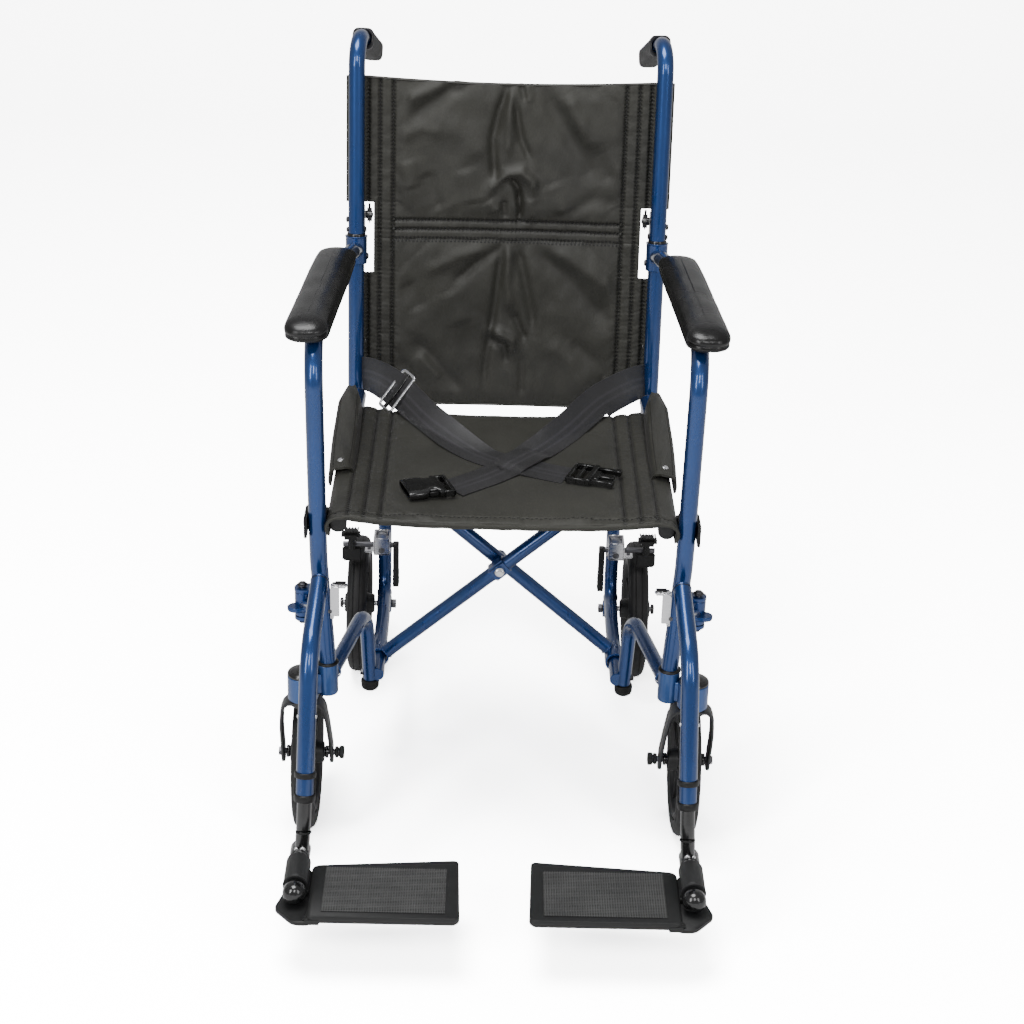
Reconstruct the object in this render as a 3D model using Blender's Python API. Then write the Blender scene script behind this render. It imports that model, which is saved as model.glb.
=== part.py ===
"""Folding transport wheelchair, modelled as an assembly of named sub-parts.

Dimensions are millimetres; every mesh is written in metres, +Z up.  The occupant faces -Y,
so +X is the occupant's left.  The origin is on the floor, on the mid-plane, under the middle
of the chair's length; Y dimensions are measured from the rear post at seat height.
Each left-hand piece is modelled once and its right-hand twin is the same mesh mirrored in X.
Names ending in _X are distances from the mid-plane.
"""

import math

import bmesh
import bpy
from mathutils import Matrix, Vector

MM = 0.001
Y_SHIFT = 268.6          # from the rear-post datum to the origin under the chair's middle
TUBE_SIDES = 12
CAP_SIDES = 16           # caps, collars and grips
WHEEL_SIDES = 20
BEND_STEP = 22.5         # degrees of bend per tube segment
SMOOTH_ANGLE = 40.0      # degrees; sharper edges stay sharp
X, Y, Z = (1, 0, 0), (0, 1, 0), (0, 0, 1)

# ---- driving dimensions ----
TUBE_R = 11.1            # main frame tube
LOW_R = 9.6              # lower rails, arch and brace tube
POST_X, POST_Y = 207.0, -4.0
LEAN_Z, LEAN = 448.0, 0.1273          # the back post leans rearwards above this height
LEG_X = 166.0            # lower part of the rear post
SEAT_Z, RAIL_X = 451.6, 202.3         # seat rail centre
FOOT_X, FOOT_Z = 164.2, 133.0         # lower rail, where the brace feet pivot
FRONT_X, FRONT_Y = 227.0, -433.0      # front post
SLEEVE_X = 217.0         # lower end of the front post
HOUSING_Z = 213.5        # underside of the sleeve and caster housing
ARCH_Y, ARCH_Z = -246.0, 231.0
ARCH_LEG_X = 174.0
WHEEL_R = 101.0          # all wheels; also the axle height
AXLE_Y = 12.0
STEM_X, STEM_Y = 247.0, -449.0        # caster stem
ARM_Z = 674.5
HINGE_Y, HINGE_Z = 47.0, 657.0        # folding back
HINGE_AT = (POST_X, HINGE_Y, HINGE_Z)
SWING_X, SWING_Y = 247.0, -430.0      # leg-rest hinge


def back_y(z):
    """Y of the leaning part of the back post at height z."""
    return POST_Y + LEAN * (z - LEAN_Z)


# ---- mesh helpers: each shape is a bmesh in millimetres ----

def loft(rings, closed=False):
    """Skins successive rings; the ends are capped, or joined together if closed."""
    solid = bmesh.new()
    rows = [[solid.verts.new(point) for point in ring] for ring in rings]
    count = len(rows[0])
    pairs = list(zip(rows, rows[1:]))
    if closed:
        pairs.append((rows[-1], rows[0]))
    for near, far in pairs:
        for i in range(count):
            j = (i + 1) % count
            solid.faces.new((near[i], near[j], far[j], far[i]))
    if not closed:
        solid.faces.new(list(reversed(rows[0])))
        solid.faces.new(rows[-1])
    bmesh.ops.recalc_face_normals(solid, faces=solid.faces)
    return solid


def side_axes(axis):
    """Two unit vectors square to the axis and to each other."""
    axis = Vector(axis).normalized()
    reference = Vector(Z) if abs(axis.z) < 0.9 else Vector(X)
    first = axis.cross(reference).normalized()
    return first, axis.cross(first).normalized()


def circle(centre, first, second, radius, sides):
    return [centre + (first * math.cos(angle) + second * math.sin(angle)) * radius
            for angle in (2 * math.pi * (i + 0.5) / sides for i in range(sides))]


def turned(origin, axis, profile, sides=TUBE_SIDES, closed=False):
    """A solid of revolution from (radius, height) pairs; a closed profile leaves a bore."""
    axis = Vector(axis).normalized()
    first, second = side_axes(axis)
    return loft([circle(Vector(origin) + axis * height, first, second, radius, sides)
                 for radius, height in profile], closed)


def rod(origin, axis, radius, length, sides=TUBE_SIDES):
    return turned(origin, axis, [(radius, 0), (radius, length)], sides)


def filleted(points, radii):
    """The polyline with each inner corner replaced by an arc."""
    points = [Vector(point) for point in points]
    path = [points[0]]
    for before, corner, after, radius in zip(points, points[1:], points[2:], radii):
        back, ahead = (before - corner).normalized(), (after - corner).normalized()
        half = back.angle(ahead) / 2
        turn = math.pi - 2 * half
        if turn < math.radians(1.5):
            path.append(corner)
            continue
        trim = radius / math.tan(half)
        centre = corner + (back + ahead).normalized() * (radius / math.sin(half))
        steps = max(1, round(math.degrees(turn) / BEND_STEP))
        start = corner + back * trim - centre
        axis = start.cross(corner + ahead * trim - centre).normalized()
        for i in range(steps + 1):
            path.append(centre + Matrix.Rotation(turn * i / steps, 3, axis) @ start)
    path.append(points[-1])
    return path


def tangents_of(path):
    last = len(path) - 1
    return [(path[min(i + 1, last)] - path[max(i - 1, 0)]).normalized()
            for i in range(len(path))]


def tube(points, radius, bends=()):
    """A round bar swept with least twist; bends are the radii at the inner points."""
    path = filleted(points, bends)
    tangents = tangents_of(path)
    side, _ = side_axes(tangents[0])
    rings = []
    for centre, tangent in zip(path, tangents):
        side = (side - tangent * side.dot(tangent)).normalized()
        rings.append(circle(centre, side, tangent.cross(side), radius, TUBE_SIDES))
    return loft(rings)


def box(low, high, bevel=0.0):
    solid = bmesh.new()
    bmesh.ops.create_cube(solid, size=1.0)
    for vert in solid.verts:
        vert.co = Vector([(a + b) / 2 + c * (b - a)
                          for a, b, c in zip(Vector(low), Vector(high), vert.co)])
    if bevel:
        bmesh.ops.bevel(solid, geom=solid.edges[:], offset=bevel, segments=1,
                        affect="EDGES", clamp_overlap=True)
    return solid


def plate(outline, origin, normal, up, thickness):
    """A flat plate: outline pairs run along (up x normal) and up."""
    normal, up = Vector(normal), Vector(up)
    across = up.cross(normal)
    base = [Vector(origin) + across * a + up * b for a, b in outline]
    return loft([base, [point + normal * thickness for point in base]])


def slab(outline, top, thickness):
    """A horizontal plate from (x, y) pairs."""
    return loft([[Vector((x, y, z)) for x, y in outline] for z in (top - thickness, top)])


def strip(points, half_width, thickness):
    """A flat band swept along points, level across its width."""
    path = [Vector(point) for point in points]
    rings = []
    for centre, tangent in zip(path, tangents_of(path)):
        width = Vector((tangent.y, -tangent.x, 0)).normalized()
        edge, depth = width * half_width, tangent.cross(width) * thickness
        rings.append([centre + edge, centre + edge + depth,
                      centre - edge + depth, centre - edge])
    return loft(rings)


# ---- materials and objects ----

# name: (base colour, roughness, metallic)
MATERIALS = {
    "blue_tube": ((0.018, 0.090, 0.330), 0.28, 0.60),
    "black_vinyl": ((0.020, 0.020, 0.021), 0.38, 0.0),
    "black_plastic": ((0.018, 0.018, 0.019), 0.45, 0.0),
    "grey_plastic": ((0.070, 0.072, 0.076), 0.50, 0.0),
    "dark_rubber": ((0.016, 0.016, 0.016), 0.75, 0.0),
    "tyre_rubber": ((0.020, 0.020, 0.021), 0.70, 0.0),
    "steel": ((0.62, 0.62, 0.64), 0.30, 1.0),
    "black_tube": ((0.015, 0.015, 0.016), 0.35, 0.30),
    "nylon": ((0.062, 0.062, 0.055), 0.85, 0.0),
    "webbing": ((0.045, 0.043, 0.048), 0.60, 0.0),
}


def make_material(name, colour, roughness, metallic):
    material = bpy.data.materials.new(name)
    material.use_nodes = True
    inputs = material.node_tree.nodes["Principled BSDF"].inputs
    inputs["Base Color"].default_value = (*colour, 1.0)
    inputs["Roughness"].default_value = roughness
    inputs["Metallic"].default_value = metallic
    material.diffuse_color = (*colour, 1.0)


def to_object(name, solid):
    """Converts a millimetre bmesh to a linked object in metres."""
    for vert in solid.verts:
        vert.co = Vector((vert.co.x, vert.co.y + Y_SHIFT, vert.co.z)) * MM
    mesh = bpy.data.meshes.new(name)
    solid.to_mesh(mesh)
    solid.free()
    obj = bpy.data.objects.new(name, mesh)
    bpy.context.scene.collection.objects.link(obj)
    return obj


def combine(name, solids, cuts):
    """Boolean union of the solids, less the cuts, as one mesh."""
    base = to_object(name + "_base", solids[0])
    helpers = []
    for kind, group in (("UNION", solids[1:]), ("DIFFERENCE", cuts)):
        for i, solid in enumerate(group):
            helper = to_object(f"{name}_{kind}_{i}", solid)
            helper.hide_render = True
            modifier = base.modifiers.new(f"{kind}_{i}", "BOOLEAN")
            modifier.operation = kind
            modifier.solver = "EXACT"
            modifier.object = helper
            helpers.append(helper)
    bpy.context.view_layer.update()
    graph = bpy.context.evaluated_depsgraph_get()
    mesh = bpy.data.meshes.new_from_object(base.evaluated_get(graph))
    mesh.name = name
    for obj in helpers + [base]:
        source = obj.data
        bpy.data.objects.remove(obj, do_unlink=True)
        bpy.data.meshes.remove(source)
    return mesh


def finish(name, mesh, material, origin):
    """Links the mesh as an object with its origin there; None is the world origin."""
    place = Vector()
    if origin is not None:
        place = Vector((origin[0], origin[1] + Y_SHIFT, origin[2])) * MM
    mesh.transform(Matrix.Translation(-place))
    mesh.materials.clear()
    mesh.materials.append(bpy.data.materials[material])
    mesh.shade_smooth()
    mesh.set_sharp_from_angle(angle=math.radians(SMOOTH_ANGLE))
    obj = bpy.data.objects.new(name, mesh)
    obj.location = place
    bpy.context.scene.collection.objects.link(obj)


def single(name, solids, material, origin=None, cuts=()):
    finish(name, combine(name, solids, cuts), material, origin)


def pair(name, solids, material, origin=None, cuts=()):
    """name_left as modelled, and name_right, its mirror image in X."""
    left = combine(name + "_left", solids, cuts)
    right = left.copy()
    right.name = name + "_right"
    right.transform(Matrix.Diagonal((-1, 1, 1, 1)))
    right.flip_normals()
    finish(name + "_left", left, material, origin)
    mirrored = None if origin is None else (-origin[0], origin[1], origin[2])
    finish(name + "_right", right, material, mirrored)


# ---- side frame ----

# Hinge ear outline: (towards the front, outwards) from the swing axis
EAR = [(9, -30), (10.5, 0), (7.5, 7.5), (0, 10.5), (-7.5, 7.5), (-10.5, 0), (-9, -30)]
# Back hinge lug outline: (downwards, rearwards)
LUG = [(-8, -10), (8, -10), (8, 9), (5, 12), (-5, 12), (-8, 9)]
REAR_POST = [(POST_X, back_y(662), 662), (POST_X, POST_Y, LEAN_Z), (POST_X, -3, 424),
             (LEG_X, 0, 318), (LEG_X, 0, 262)]
LOWER_RAIL = [(LEG_X, 0, 300), (LEG_X, 0, FOOT_Z), (FOOT_X, -90, FOOT_Z), (FOOT_X, -252, FOOT_Z)]
# The arm tube runs forwards from the rear post, then turns down into the front post.
ARM_TUBE = [(POST_X, back_y(648), 648), (210, -34, 664), (219, -104, ARM_Z), (223, -165, ARM_Z),
            (234, -345, ARM_Z), (229.5, FRONT_Y, ARM_Z), (FRONT_X, FRONT_Y, 452),
            (226, FRONT_Y, 400), (SLEEVE_X, FRONT_Y, 262), (SLEEVE_X, FRONT_Y, 226)]
ARM_BENDS = [60, 90, 150, 90, 44, 300, 200, 60]
ARCH = [(SLEEVE_X, FRONT_Y, ARCH_Z), (179.5, ARCH_Y, ARCH_Z), (ARCH_LEG_X, ARCH_Y, 124)]


def housing_web():
    """The web that joins the front post's sleeve to the caster housing."""
    direction = Vector((STEM_X - SLEEVE_X, STEM_Y - FRONT_Y, 0)).normalized()
    across = Vector((-direction.y, direction.x, 0)) * 7
    start = Vector((SLEEVE_X, FRONT_Y, 0))
    end = Vector((STEM_X, STEM_Y, 0)) - direction * 10
    corners = (start + across, start - across, end - across, end + across)
    return loft([[corner + Vector((0, 0, z)) for corner in corners] for z in (217.0, 244.0)])


def side_frame():
    socket_z = 630
    pair("side_frame", [
        tube(REAR_POST, TUBE_R, [400, 70, 70]),
        tube(LOWER_RAIL, LOW_R, [34, 100]),
        rod((POST_X, back_y(socket_z), socket_z), (0, LEAN, 1), 14.8, 38.5),
        tube(ARM_TUBE, TUBE_R, ARM_BENDS),
        rod((SLEEVE_X, FRONT_Y, HOUSING_Z), Z, 13.6, 43),
        turned((STEM_X, STEM_Y, HOUSING_Z), Z, [(17.5, 0), (19.5, 2.5), (19.5, 34)], sides=20),
        housing_web(),
        tube(ARCH, LOW_R, [34]),
        # axle boss and the block joining it to the leg
        rod((157, AXLE_Y, WHEEL_R), X, 13, 21),
        box((160.5, -7, 100), (171.5, 24, 153), 1.5),
        plate(LUG, (203.5, HINGE_Y - 5.5, HINGE_Z), X, Y, 7.0),
        *[plate(EAR, (SWING_X, SWING_Y, z), Z, X, 5.0) for z in (318.0, 357.0)],
    ], "blue_tube", cuts=[
        rod((STEM_X, STEM_Y, 210), Z, 7.0, 60),
        rod((150, AXLE_Y, WHEEL_R), X, 5.0, 40),
        rod((196, HINGE_Y, HINGE_Z), X, 4.0, 22),
        rod((SWING_X, SWING_Y, 310), Z, 5.2, 60),
    ])


# ---- arm pad and small fittings ----

PAD_X, PAD_Y = (203, 256), (-430, -128)
PAD_BOTTOM, PAD_TOP = 687.0, 713.0
PAD_CORNER = 20.0
PAD_TOE, PAD_TOE_Y = 0.066, -275      # inward slope towards the back, and where it is zero


def pad_ring(z, inset):
    low_x, high_x = PAD_X[0] + inset + PAD_CORNER, PAD_X[1] - inset - PAD_CORNER
    low_y, high_y = PAD_Y[0] + inset + PAD_CORNER, PAD_Y[1] - inset - PAD_CORNER
    points = []
    for centre_x, centre_y, start in ((high_x, high_y, 0), (low_x, high_y, 90),
                                      (low_x, low_y, 180), (high_x, low_y, 270)):
        for i in range(4):
            angle = math.radians(start + 30 * i)
            x = centre_x + PAD_CORNER * math.cos(angle)
            y = centre_y + PAD_CORNER * math.sin(angle)
            points.append(Vector((x - PAD_TOE * (y - PAD_TOE_Y), y, z)))
    return points


def arm_pad():
    """A long padded block with rounded plan corners and a crowned top."""
    stations = ((PAD_BOTTOM, 2), (PAD_BOTTOM + 4, 0), (PAD_TOP - 11, 0),
                (PAD_TOP - 3, 4), (PAD_TOP, 12))      # height, inset
    pair("arm_pad", [loft([pad_ring(z, inset) for z, inset in stations])], "black_vinyl")


def seat_saddle():
    """Saddle behind the front post where the seat rail settles."""
    bottom, top, outer_x = 436, 466, 243
    pair("seat_saddle", [box((214.6, -421.0, bottom), (outer_x, -406, top), 2),
                         box((239.2, -447, bottom), (outer_x, -408, top), 1)], "black_plastic")


def stem_cap():
    pair("stem_cap", [turned((STEM_X, STEM_Y, 248.0), Z,
                             [(19, 0), (19, 3), (15, 6), (6, 7)], CAP_SIDES)], "black_plastic")


def leg_tip():
    pair("leg_tip", [turned((ARCH_LEG_X, ARCH_Y, 123.4), (0, 0, -1),
                            [(12, 0), (12, 10), (9, 14), (4, 16)])], "dark_rubber")


# ---- wheels ----

REAR_WHEEL_X = 204.0
REAR_ORIGIN_X = REAR_WHEEL_X + 8      # object origin of the rear wheel and tyre
TRAIL = 50.0             # the caster axle sits this far behind the stem
CASTER_Y = STEM_Y + TRAIL
STEM_AT = (STEM_X, STEM_Y, 0)
CROWN_Z = 204.3
FORK_HALF_THICK = 3.2
# Fork arm stations: x from stem, y from stem, z, half width, thickness direction (x, z)
FORK_ARM = [
    (6, 0, 209.5, 13, (0, 1)),
    (19, 2, 208, 13, (0, 1)),
    (27, 6, 194, 13, (0.7, 0.7)),
    (30, 20, 160, 12, (1, 0)),
    (31.5, TRAIL - 3, 112, 12, (1, 0)),
    (31.5, TRAIL + 2, 88, 9, (1, 0)),
]


def rear_axle():
    pair("rear_axle", [turned((150, AXLE_Y, WHEEL_R), X, [
        (7.5, 0), (7.5, 6.5), (4.0, 6.5), (4.0, 78.5), (7.5, 78.5), (7.5, 83)])], "steel")


def wheel_and_tyre(prefix, x, y, origin):
    """A plastic wheel bored for its axle, and its tyre."""
    half_hub = 22
    wheel = [(4.6, -half_hub), (15, -half_hub), (17, -8), (66, -5), (70, -12.5), (79, -12.5),
             (79, 12.5), (70, 12.5), (66, 5), (17, 8), (15, half_hub), (4.6, half_hub)]
    # The tread facets, not their corners, stand at the rolling radius.
    widen = 1.0 / math.cos(math.pi / WHEEL_SIDES)
    tread, shoulder = WHEEL_R * widen, 97.0 * widen
    tyre = [(79.6, -13.2), (88, -14.5), (shoulder, -11), (tread, -4),
            (tread, 4), (shoulder, 11), (88, 14.5), (79.6, 13.2)]
    for name, profile, material in (("wheel", wheel, "grey_plastic"),
                                    ("tyre", tyre, "tyre_rubber")):
        solid = turned((x, y, WHEEL_R), X, profile, WHEEL_SIDES, closed=True)
        pair(f"{prefix}_{name}", [solid], material, origin)


def fork_arm(side):
    """One fork arm, flaring out from the crown to the axle; side is -1 or 1."""
    rings = []
    for offset, behind, z, half_width, (thick_x, thick_z) in FORK_ARM:
        x, y = STEM_X + side * offset, STEM_Y + behind
        half_x, half_z = side * FORK_HALF_THICK * thick_x, FORK_HALF_THICK * thick_z
        rings.append([Vector((x - half_x, y - half_width, z - half_z)),
                      Vector((x + half_x, y - half_width, z + half_z)),
                      Vector((x + half_x, y + half_width, z + half_z)),
                      Vector((x - half_x, y + half_width, z - half_z))])
    return loft(rings)


def caster_fork():
    """Two arms, with the crown and stem turned in one piece."""
    crown = turned((STEM_X, STEM_Y, CROWN_Z), Z, [(17, 0), (17, 8.4), (6, 8.4), (6, 42)])
    pair("caster_fork", [fork_arm(-1), fork_arm(1), crown], "grey_plastic", STEM_AT,
         cuts=[rod((STEM_X - 40, CASTER_Y, WHEEL_R), X, 5.0, 80)])


def caster_axle():
    """Axle with its head and nut."""
    pair("caster_axle", [turned((STEM_X - 48, CASTER_Y, WHEEL_R), X, [
        (8.5, 0), (8.5, 7), (6.5, 7), (6.5, 12.6), (4.0, 12.6), (4.0, 83.5),
        (6.5, 83.5), (6.5, 86)])], "black_plastic", STEM_AT)


# ---- wheel lock ----

LOCK_Y, LOCK_Z = -34.0, 222.0         # lever pivot


def brake_bracket():
    """Bracket in front of the rear post."""
    rear_face = -10.6
    pair("brake_bracket", [box((157, -42, 208), (181, rear_face, 236)),
                           box((155, -30, 206), (194, rear_face, 210.5))],
         "steel", cuts=[rod((150, LOCK_Y, LOCK_Z), X, 5.0, 60)])


def brake_lever():
    """Cross bar with a hanging arm at its inner end, and paddle and shoe at its outer end."""
    arm = [(-5, 4), (5, 4), (7, -64), (-7, -64)]      # (y, z) from the pivot
    pair("brake_lever", [
        rod((146, LOCK_Y, LOCK_Z), X, 4.0, 79),
        plate(arm, (144, LOCK_Y, LOCK_Z), X, Z, 9.0),
        box((199, -58, 238), (226, -38, 252), 3),
        box((207, -46, 216), (217, -32, 240)),
        box((198, -38.5, 196), (226, -31.5, 219), 1.5),
    ], "black_plastic", (185, LOCK_Y, LOCK_Z))


# ---- leg rest ----

HANGER_BEND = Vector((228.2, -562, 342))
HANGER_END = Vector((232.3, -611, 166))
HANGER_DOWN = (HANGER_END - HANGER_BEND).normalized()
LATCH_Y, LATCH_Z = -472, 366
PIVOT_X, PIVOT_Z = 238.0, 94.0        # footplate pivot line, fore and aft
BARREL_Y, BARREL_LENGTH = -684.5, 50.0
# Footplate outlines: (x, y)
TREAD = [(47, -617), (44, -620), (41, -730), (46, -736), (222, -736), (222, -632.5)]
FLANGE = [(216, -736), (238, -736), (262, -708), (258, -694), (243, -640), (216, -640)]


def leg_hanger():
    """Bent tube with a bored lower end, swing collar with its pin, and link."""
    pair("leg_hanger", [
        tube([(223, -457.5, 388), HANGER_BEND, HANGER_END], TUBE_R, [70]),
        rod((SWING_X, SWING_Y, 323.6), Z, 10, 32.8),
        rod((SWING_X, SWING_Y, 314.5), Z, 4.2, 51),
        tube([(SWING_X, SWING_Y, 336), (229, -494, 366)], 6.5),
    ], "blue_tube", (SWING_X, SWING_Y, 340),
        cuts=[rod(HANGER_END + HANGER_DOWN * 5, -HANGER_DOWN, 10.0, 120)])


def hanger_latch():
    outline = [(-9, -22), (9, -22), (9, 14), (4, 22), (-6, 24)]      # (y, z)
    pair("hanger_latch", [
        plate(outline, (204.5, LATCH_Y, LATCH_Z), X, Z, 4.0),
        box((188, -480, 386), (208.5, -470, 392), 1),
    ], "steel", (206, LATCH_Y, LATCH_Z))


def leg_extension():
    """Sliding extension with the footplate's pivot pin and its ball end."""
    foot = Vector((236, -619.5, PIVOT_Z + 4))
    ball = [(4, 0), (9.5, 2.5), (13.2, 7.5), (14.3, 14), (13.4, 20), (11, 27)]
    pair("leg_extension", [
        tube([HANGER_END - HANGER_DOWN * 86, HANGER_END + HANGER_DOWN * 26, foot], 8.9, [60]),
        rod((PIVOT_X, -632.4, PIVOT_Z), Y, 12.5, 26),
        rod((PIVOT_X, -700, PIVOT_Z), Y, 6.0, 70),
        turned((PIVOT_X, -712.8, PIVOT_Z), Y, ball),
    ], "black_tube", HANGER_END)


def footplate():
    """Tread, with an outer flange stepped down under the pivot barrel."""
    pair("footplate", [
        slab(TREAD, top=88.0, thickness=11.0),
        slab(FLANGE, top=78.5, thickness=6.0),
        rod((PIVOT_X, BARREL_Y, PIVOT_Z), Y, 15, BARREL_LENGTH),
        box((219, BARREL_Y, 74), (250, -640, 87)),
    ], "grey_plastic", (PIVOT_X, -660, PIVOT_Z),
        cuts=[rod((PIVOT_X, -690, PIVOT_Z), Y, 7.2, 70)])


# ---- folding back ----

KNEE_Z = 941
CANE_KNEE = Vector((POST_X, back_y(KNEE_Z), KNEE_Z))
CANE_END = Vector((193, 188, 884))
# Hinge strap outline: (y, z) from the hinge
STRAP = [(-5.5, -9), (6.5, -9), (6.5, 47), (-22, 47), (-22, 17), (-5.5, 11)]


def back_cane():
    """Cane with its hinge pin and the two straps."""
    foot_z = 669.5
    pair("back_cane", [
        tube([(POST_X, back_y(foot_z), foot_z), CANE_KNEE, CANE_END], TUBE_R, [34]),
        rod((197, HINGE_Y, HINGE_Z), X, 3.0, 19),
        *[plate(STRAP, (x, HINGE_Y, HINGE_Z), X, Z, 3.2) for x in (196.4, 214.4)],
    ], "blue_tube", HINGE_AT)


def hand_grip():
    """A sleeve over the cane's end, closed at the tip."""
    outward = (CANE_END - CANE_KNEE).normalized()
    profile = [(15.5, 0), (16, 92), (16.8, 94), (16.8, 98), (12.2, 98), (12.2, 3.5)]
    pair("hand_grip", [turned(CANE_END + outward * 5, -outward, profile, CAP_SIDES)],
         "dark_rubber", HINGE_AT)


def back_release():
    y, z = 44, 692
    pair("back_release", [box((186.5, 41, z - 12), (193.5, 48, z + 12), 2),
                          rod((186, y, z), X, 5.5, 9.8)], "black_plastic", (190, y, z))


# ---- cross brace ----

CROSS_Y, CROSS_Z = -190.0, 275.8      # brace mid-plane, and height of its centre bolt
ARM_OFFSET = 12.5        # each brace arm lies this far from the mid-plane
COLLAR_LENGTH = 30


def brace_arm(name, side, y):
    """An arm from a collar round one lower rail (side 1 is +X) to the opposite seat rail."""
    foot = Vector((side * FOOT_X, y, FOOT_Z))
    rail = Vector((-side * RAIL_X, y, SEAT_Z))
    direction = (rail - foot).normalized()
    half = COLLAR_LENGTH / 2
    collar = [(11.0, 0), (14.2, 0), (14.2, COLLAR_LENGTH), (11.0, COLLAR_LENGTH)]
    single(name, [
        tube([foot + direction * 12.6, rail], LOW_R),
        turned((side * FOOT_X, CROSS_Y - half, FOOT_Z), Y, collar, CAP_SIDES, closed=True),
        tube([(-side * RAIL_X, -431, SEAT_Z), (-side * RAIL_X, -28, SEAT_Z)], TUBE_R),
    ], "blue_tube", (side * FOOT_X, CROSS_Y, FOOT_Z),
        cuts=[rod((0, -230, CROSS_Z), Y, 4.4, 80)])


def brace_bolt():
    single("brace_bolt", [turned((0, -221, CROSS_Z), Y, [
        (7.5, 0), (7.5, 6), (3.8, 6), (3.8, 55), (7.5, 55), (7.5, 60)])],
        "steel", (0, CROSS_Y, CROSS_Z))


# ---- slings: plain closed solids ----

# Back sling outlines: (x, z)
LOWER_SLING = [(-96, 424), (96, 424), (184, 478), (216, 492), (216, 612), (184, 615),
               (184, 656), (-184, 656), (-184, 615), (-216, 612), (-216, 492), (-184, 478)]
UPPER_SLING = [(-184, 666), (184, 666), (184, 708), (223, 712), (223, 880),
               (-223, 880), (-223, 712), (-184, 708)]
SLING_OFFSET, SLING_THICK = 12.0, 6.0


def seat_sling():
    single("seat_sling", [box((-213, -446, 463.4), (213, -104, 472), 3)], "nylon")


def back_sling(name, outline):
    """A sheet that follows the lean of the back posts, behind their centre line."""
    rings = [[Vector((x, back_y(z) + SLING_OFFSET + depth, z)) for x, z in outline]
             for depth in (0.0, SLING_THICK)]
    single(name, [loft(rings)], "nylon")


# ---- lap belt: two straps that cross on the seat, a slide and two buckle halves ----

# Strap centre lines: (x, y, z)
BELT_RIGHT = [(-178, -26, 497), (-148, -80, 483), (-98, -162, 475.4), (-30, -245, 475.4),
              (72, -300, 475.4), (86, -307, 475.4)]
BELT_LEFT = [(178, -26, 497), (146, -78, 486), (98, -152, 480), (55, -222, 479.6),
             (-12, -303, 479.6), (-34, -329, 476.5), (-44, -340, 475.4)]
SLIDE = [(-145.5, -84.5, 486.6), (-129.5, -111.5, 484.1)]


def belt_strap(name, points):
    single(name, [strip(points, half_width=24.0, thickness=1.8)], "webbing")


def buckle(name, start, end, half_width, top, nose):
    """A block between two (x, y) points; nose is its relative width at the end."""
    bottom = 473.0
    start, end = Vector((*start, 0)), Vector((*end, 0))
    direction = (end - start).normalized()
    across = Vector((-direction.y, direction.x, 0))
    rings = []
    for fraction, width in ((0.0, 0.92), (0.08, 1.0), (0.7, 1.0), (1.0, nose)):
        centre, edge = start.lerp(end, fraction), across * half_width * width
        rings.append([centre + edge * sign + Vector((0, 0, z))
                      for sign, z in ((1, bottom), (-1, bottom), (-1, top), (1, top))])
    single(name, [loft(rings)], "black_plastic")


def belt_slide():
    single("belt_slide", [strip(SLIDE, half_width=29.0, thickness=2.6)], "steel")


def build():
    for obj in list(bpy.data.objects):
        bpy.data.objects.remove(obj, do_unlink=True)
    for name, settings in MATERIALS.items():
        make_material(name, *settings)

    side_frame()
    arm_pad()
    seat_saddle()
    stem_cap()
    leg_tip()
    rear_axle()
    wheel_and_tyre("rear", REAR_WHEEL_X, AXLE_Y, (REAR_ORIGIN_X, AXLE_Y, WHEEL_R))
    caster_fork()
    caster_axle()
    wheel_and_tyre("caster", STEM_X, CASTER_Y, (STEM_X, CASTER_Y, WHEEL_R))
    brake_bracket()
    brake_lever()
    leg_hanger()
    hanger_latch()
    leg_extension()
    footplate()
    back_cane()
    hand_grip()
    back_release()
    brace_arm("brace_arm_a", 1, CROSS_Y + ARM_OFFSET)
    brace_arm("brace_arm_b", -1, CROSS_Y - ARM_OFFSET)
    brace_bolt()
    seat_sling()
    back_sling("back_sling_lower", LOWER_SLING)
    back_sling("back_sling_upper", UPPER_SLING)
    belt_strap("lap_belt_right", BELT_RIGHT)
    belt_strap("lap_belt_left", BELT_LEFT)
    buckle("buckle_tongue", (96, -312), (150, -330), half_width=23.0, top=484.0, nose=0.72)
    buckle("buckle_socket", (-60, -356), (-122, -376), half_width=24.0, top=487.0, nose=0.85)
    belt_slide()


build()
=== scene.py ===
# A folding wheelchair, unfolded and standing on the floor. X runs across it (the sitter's left
# is +X), Y runs from front to back and Z is up. Sizes are in millimetres about a modelling
# datum; metres() moves them into the frame.

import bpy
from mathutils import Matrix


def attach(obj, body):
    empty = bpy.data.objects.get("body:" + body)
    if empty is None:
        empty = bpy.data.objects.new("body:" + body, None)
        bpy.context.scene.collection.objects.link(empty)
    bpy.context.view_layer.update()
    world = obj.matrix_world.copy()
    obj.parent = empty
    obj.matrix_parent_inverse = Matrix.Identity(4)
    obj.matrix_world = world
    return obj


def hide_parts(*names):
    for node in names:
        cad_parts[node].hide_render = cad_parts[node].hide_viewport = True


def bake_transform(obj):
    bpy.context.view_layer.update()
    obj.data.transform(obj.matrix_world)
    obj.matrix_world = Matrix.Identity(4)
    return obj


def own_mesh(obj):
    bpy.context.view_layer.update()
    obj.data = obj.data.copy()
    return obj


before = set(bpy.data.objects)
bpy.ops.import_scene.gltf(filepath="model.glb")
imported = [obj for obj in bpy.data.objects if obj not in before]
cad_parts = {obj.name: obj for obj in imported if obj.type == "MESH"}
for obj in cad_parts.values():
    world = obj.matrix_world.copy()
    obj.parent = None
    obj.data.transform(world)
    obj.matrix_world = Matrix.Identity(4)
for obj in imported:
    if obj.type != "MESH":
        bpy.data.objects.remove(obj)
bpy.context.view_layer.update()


import math

import bmesh
import bpy
import numpy as np
from mathutils import Matrix, Vector, noise
from mathutils.bvhtree import BVHTree

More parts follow.
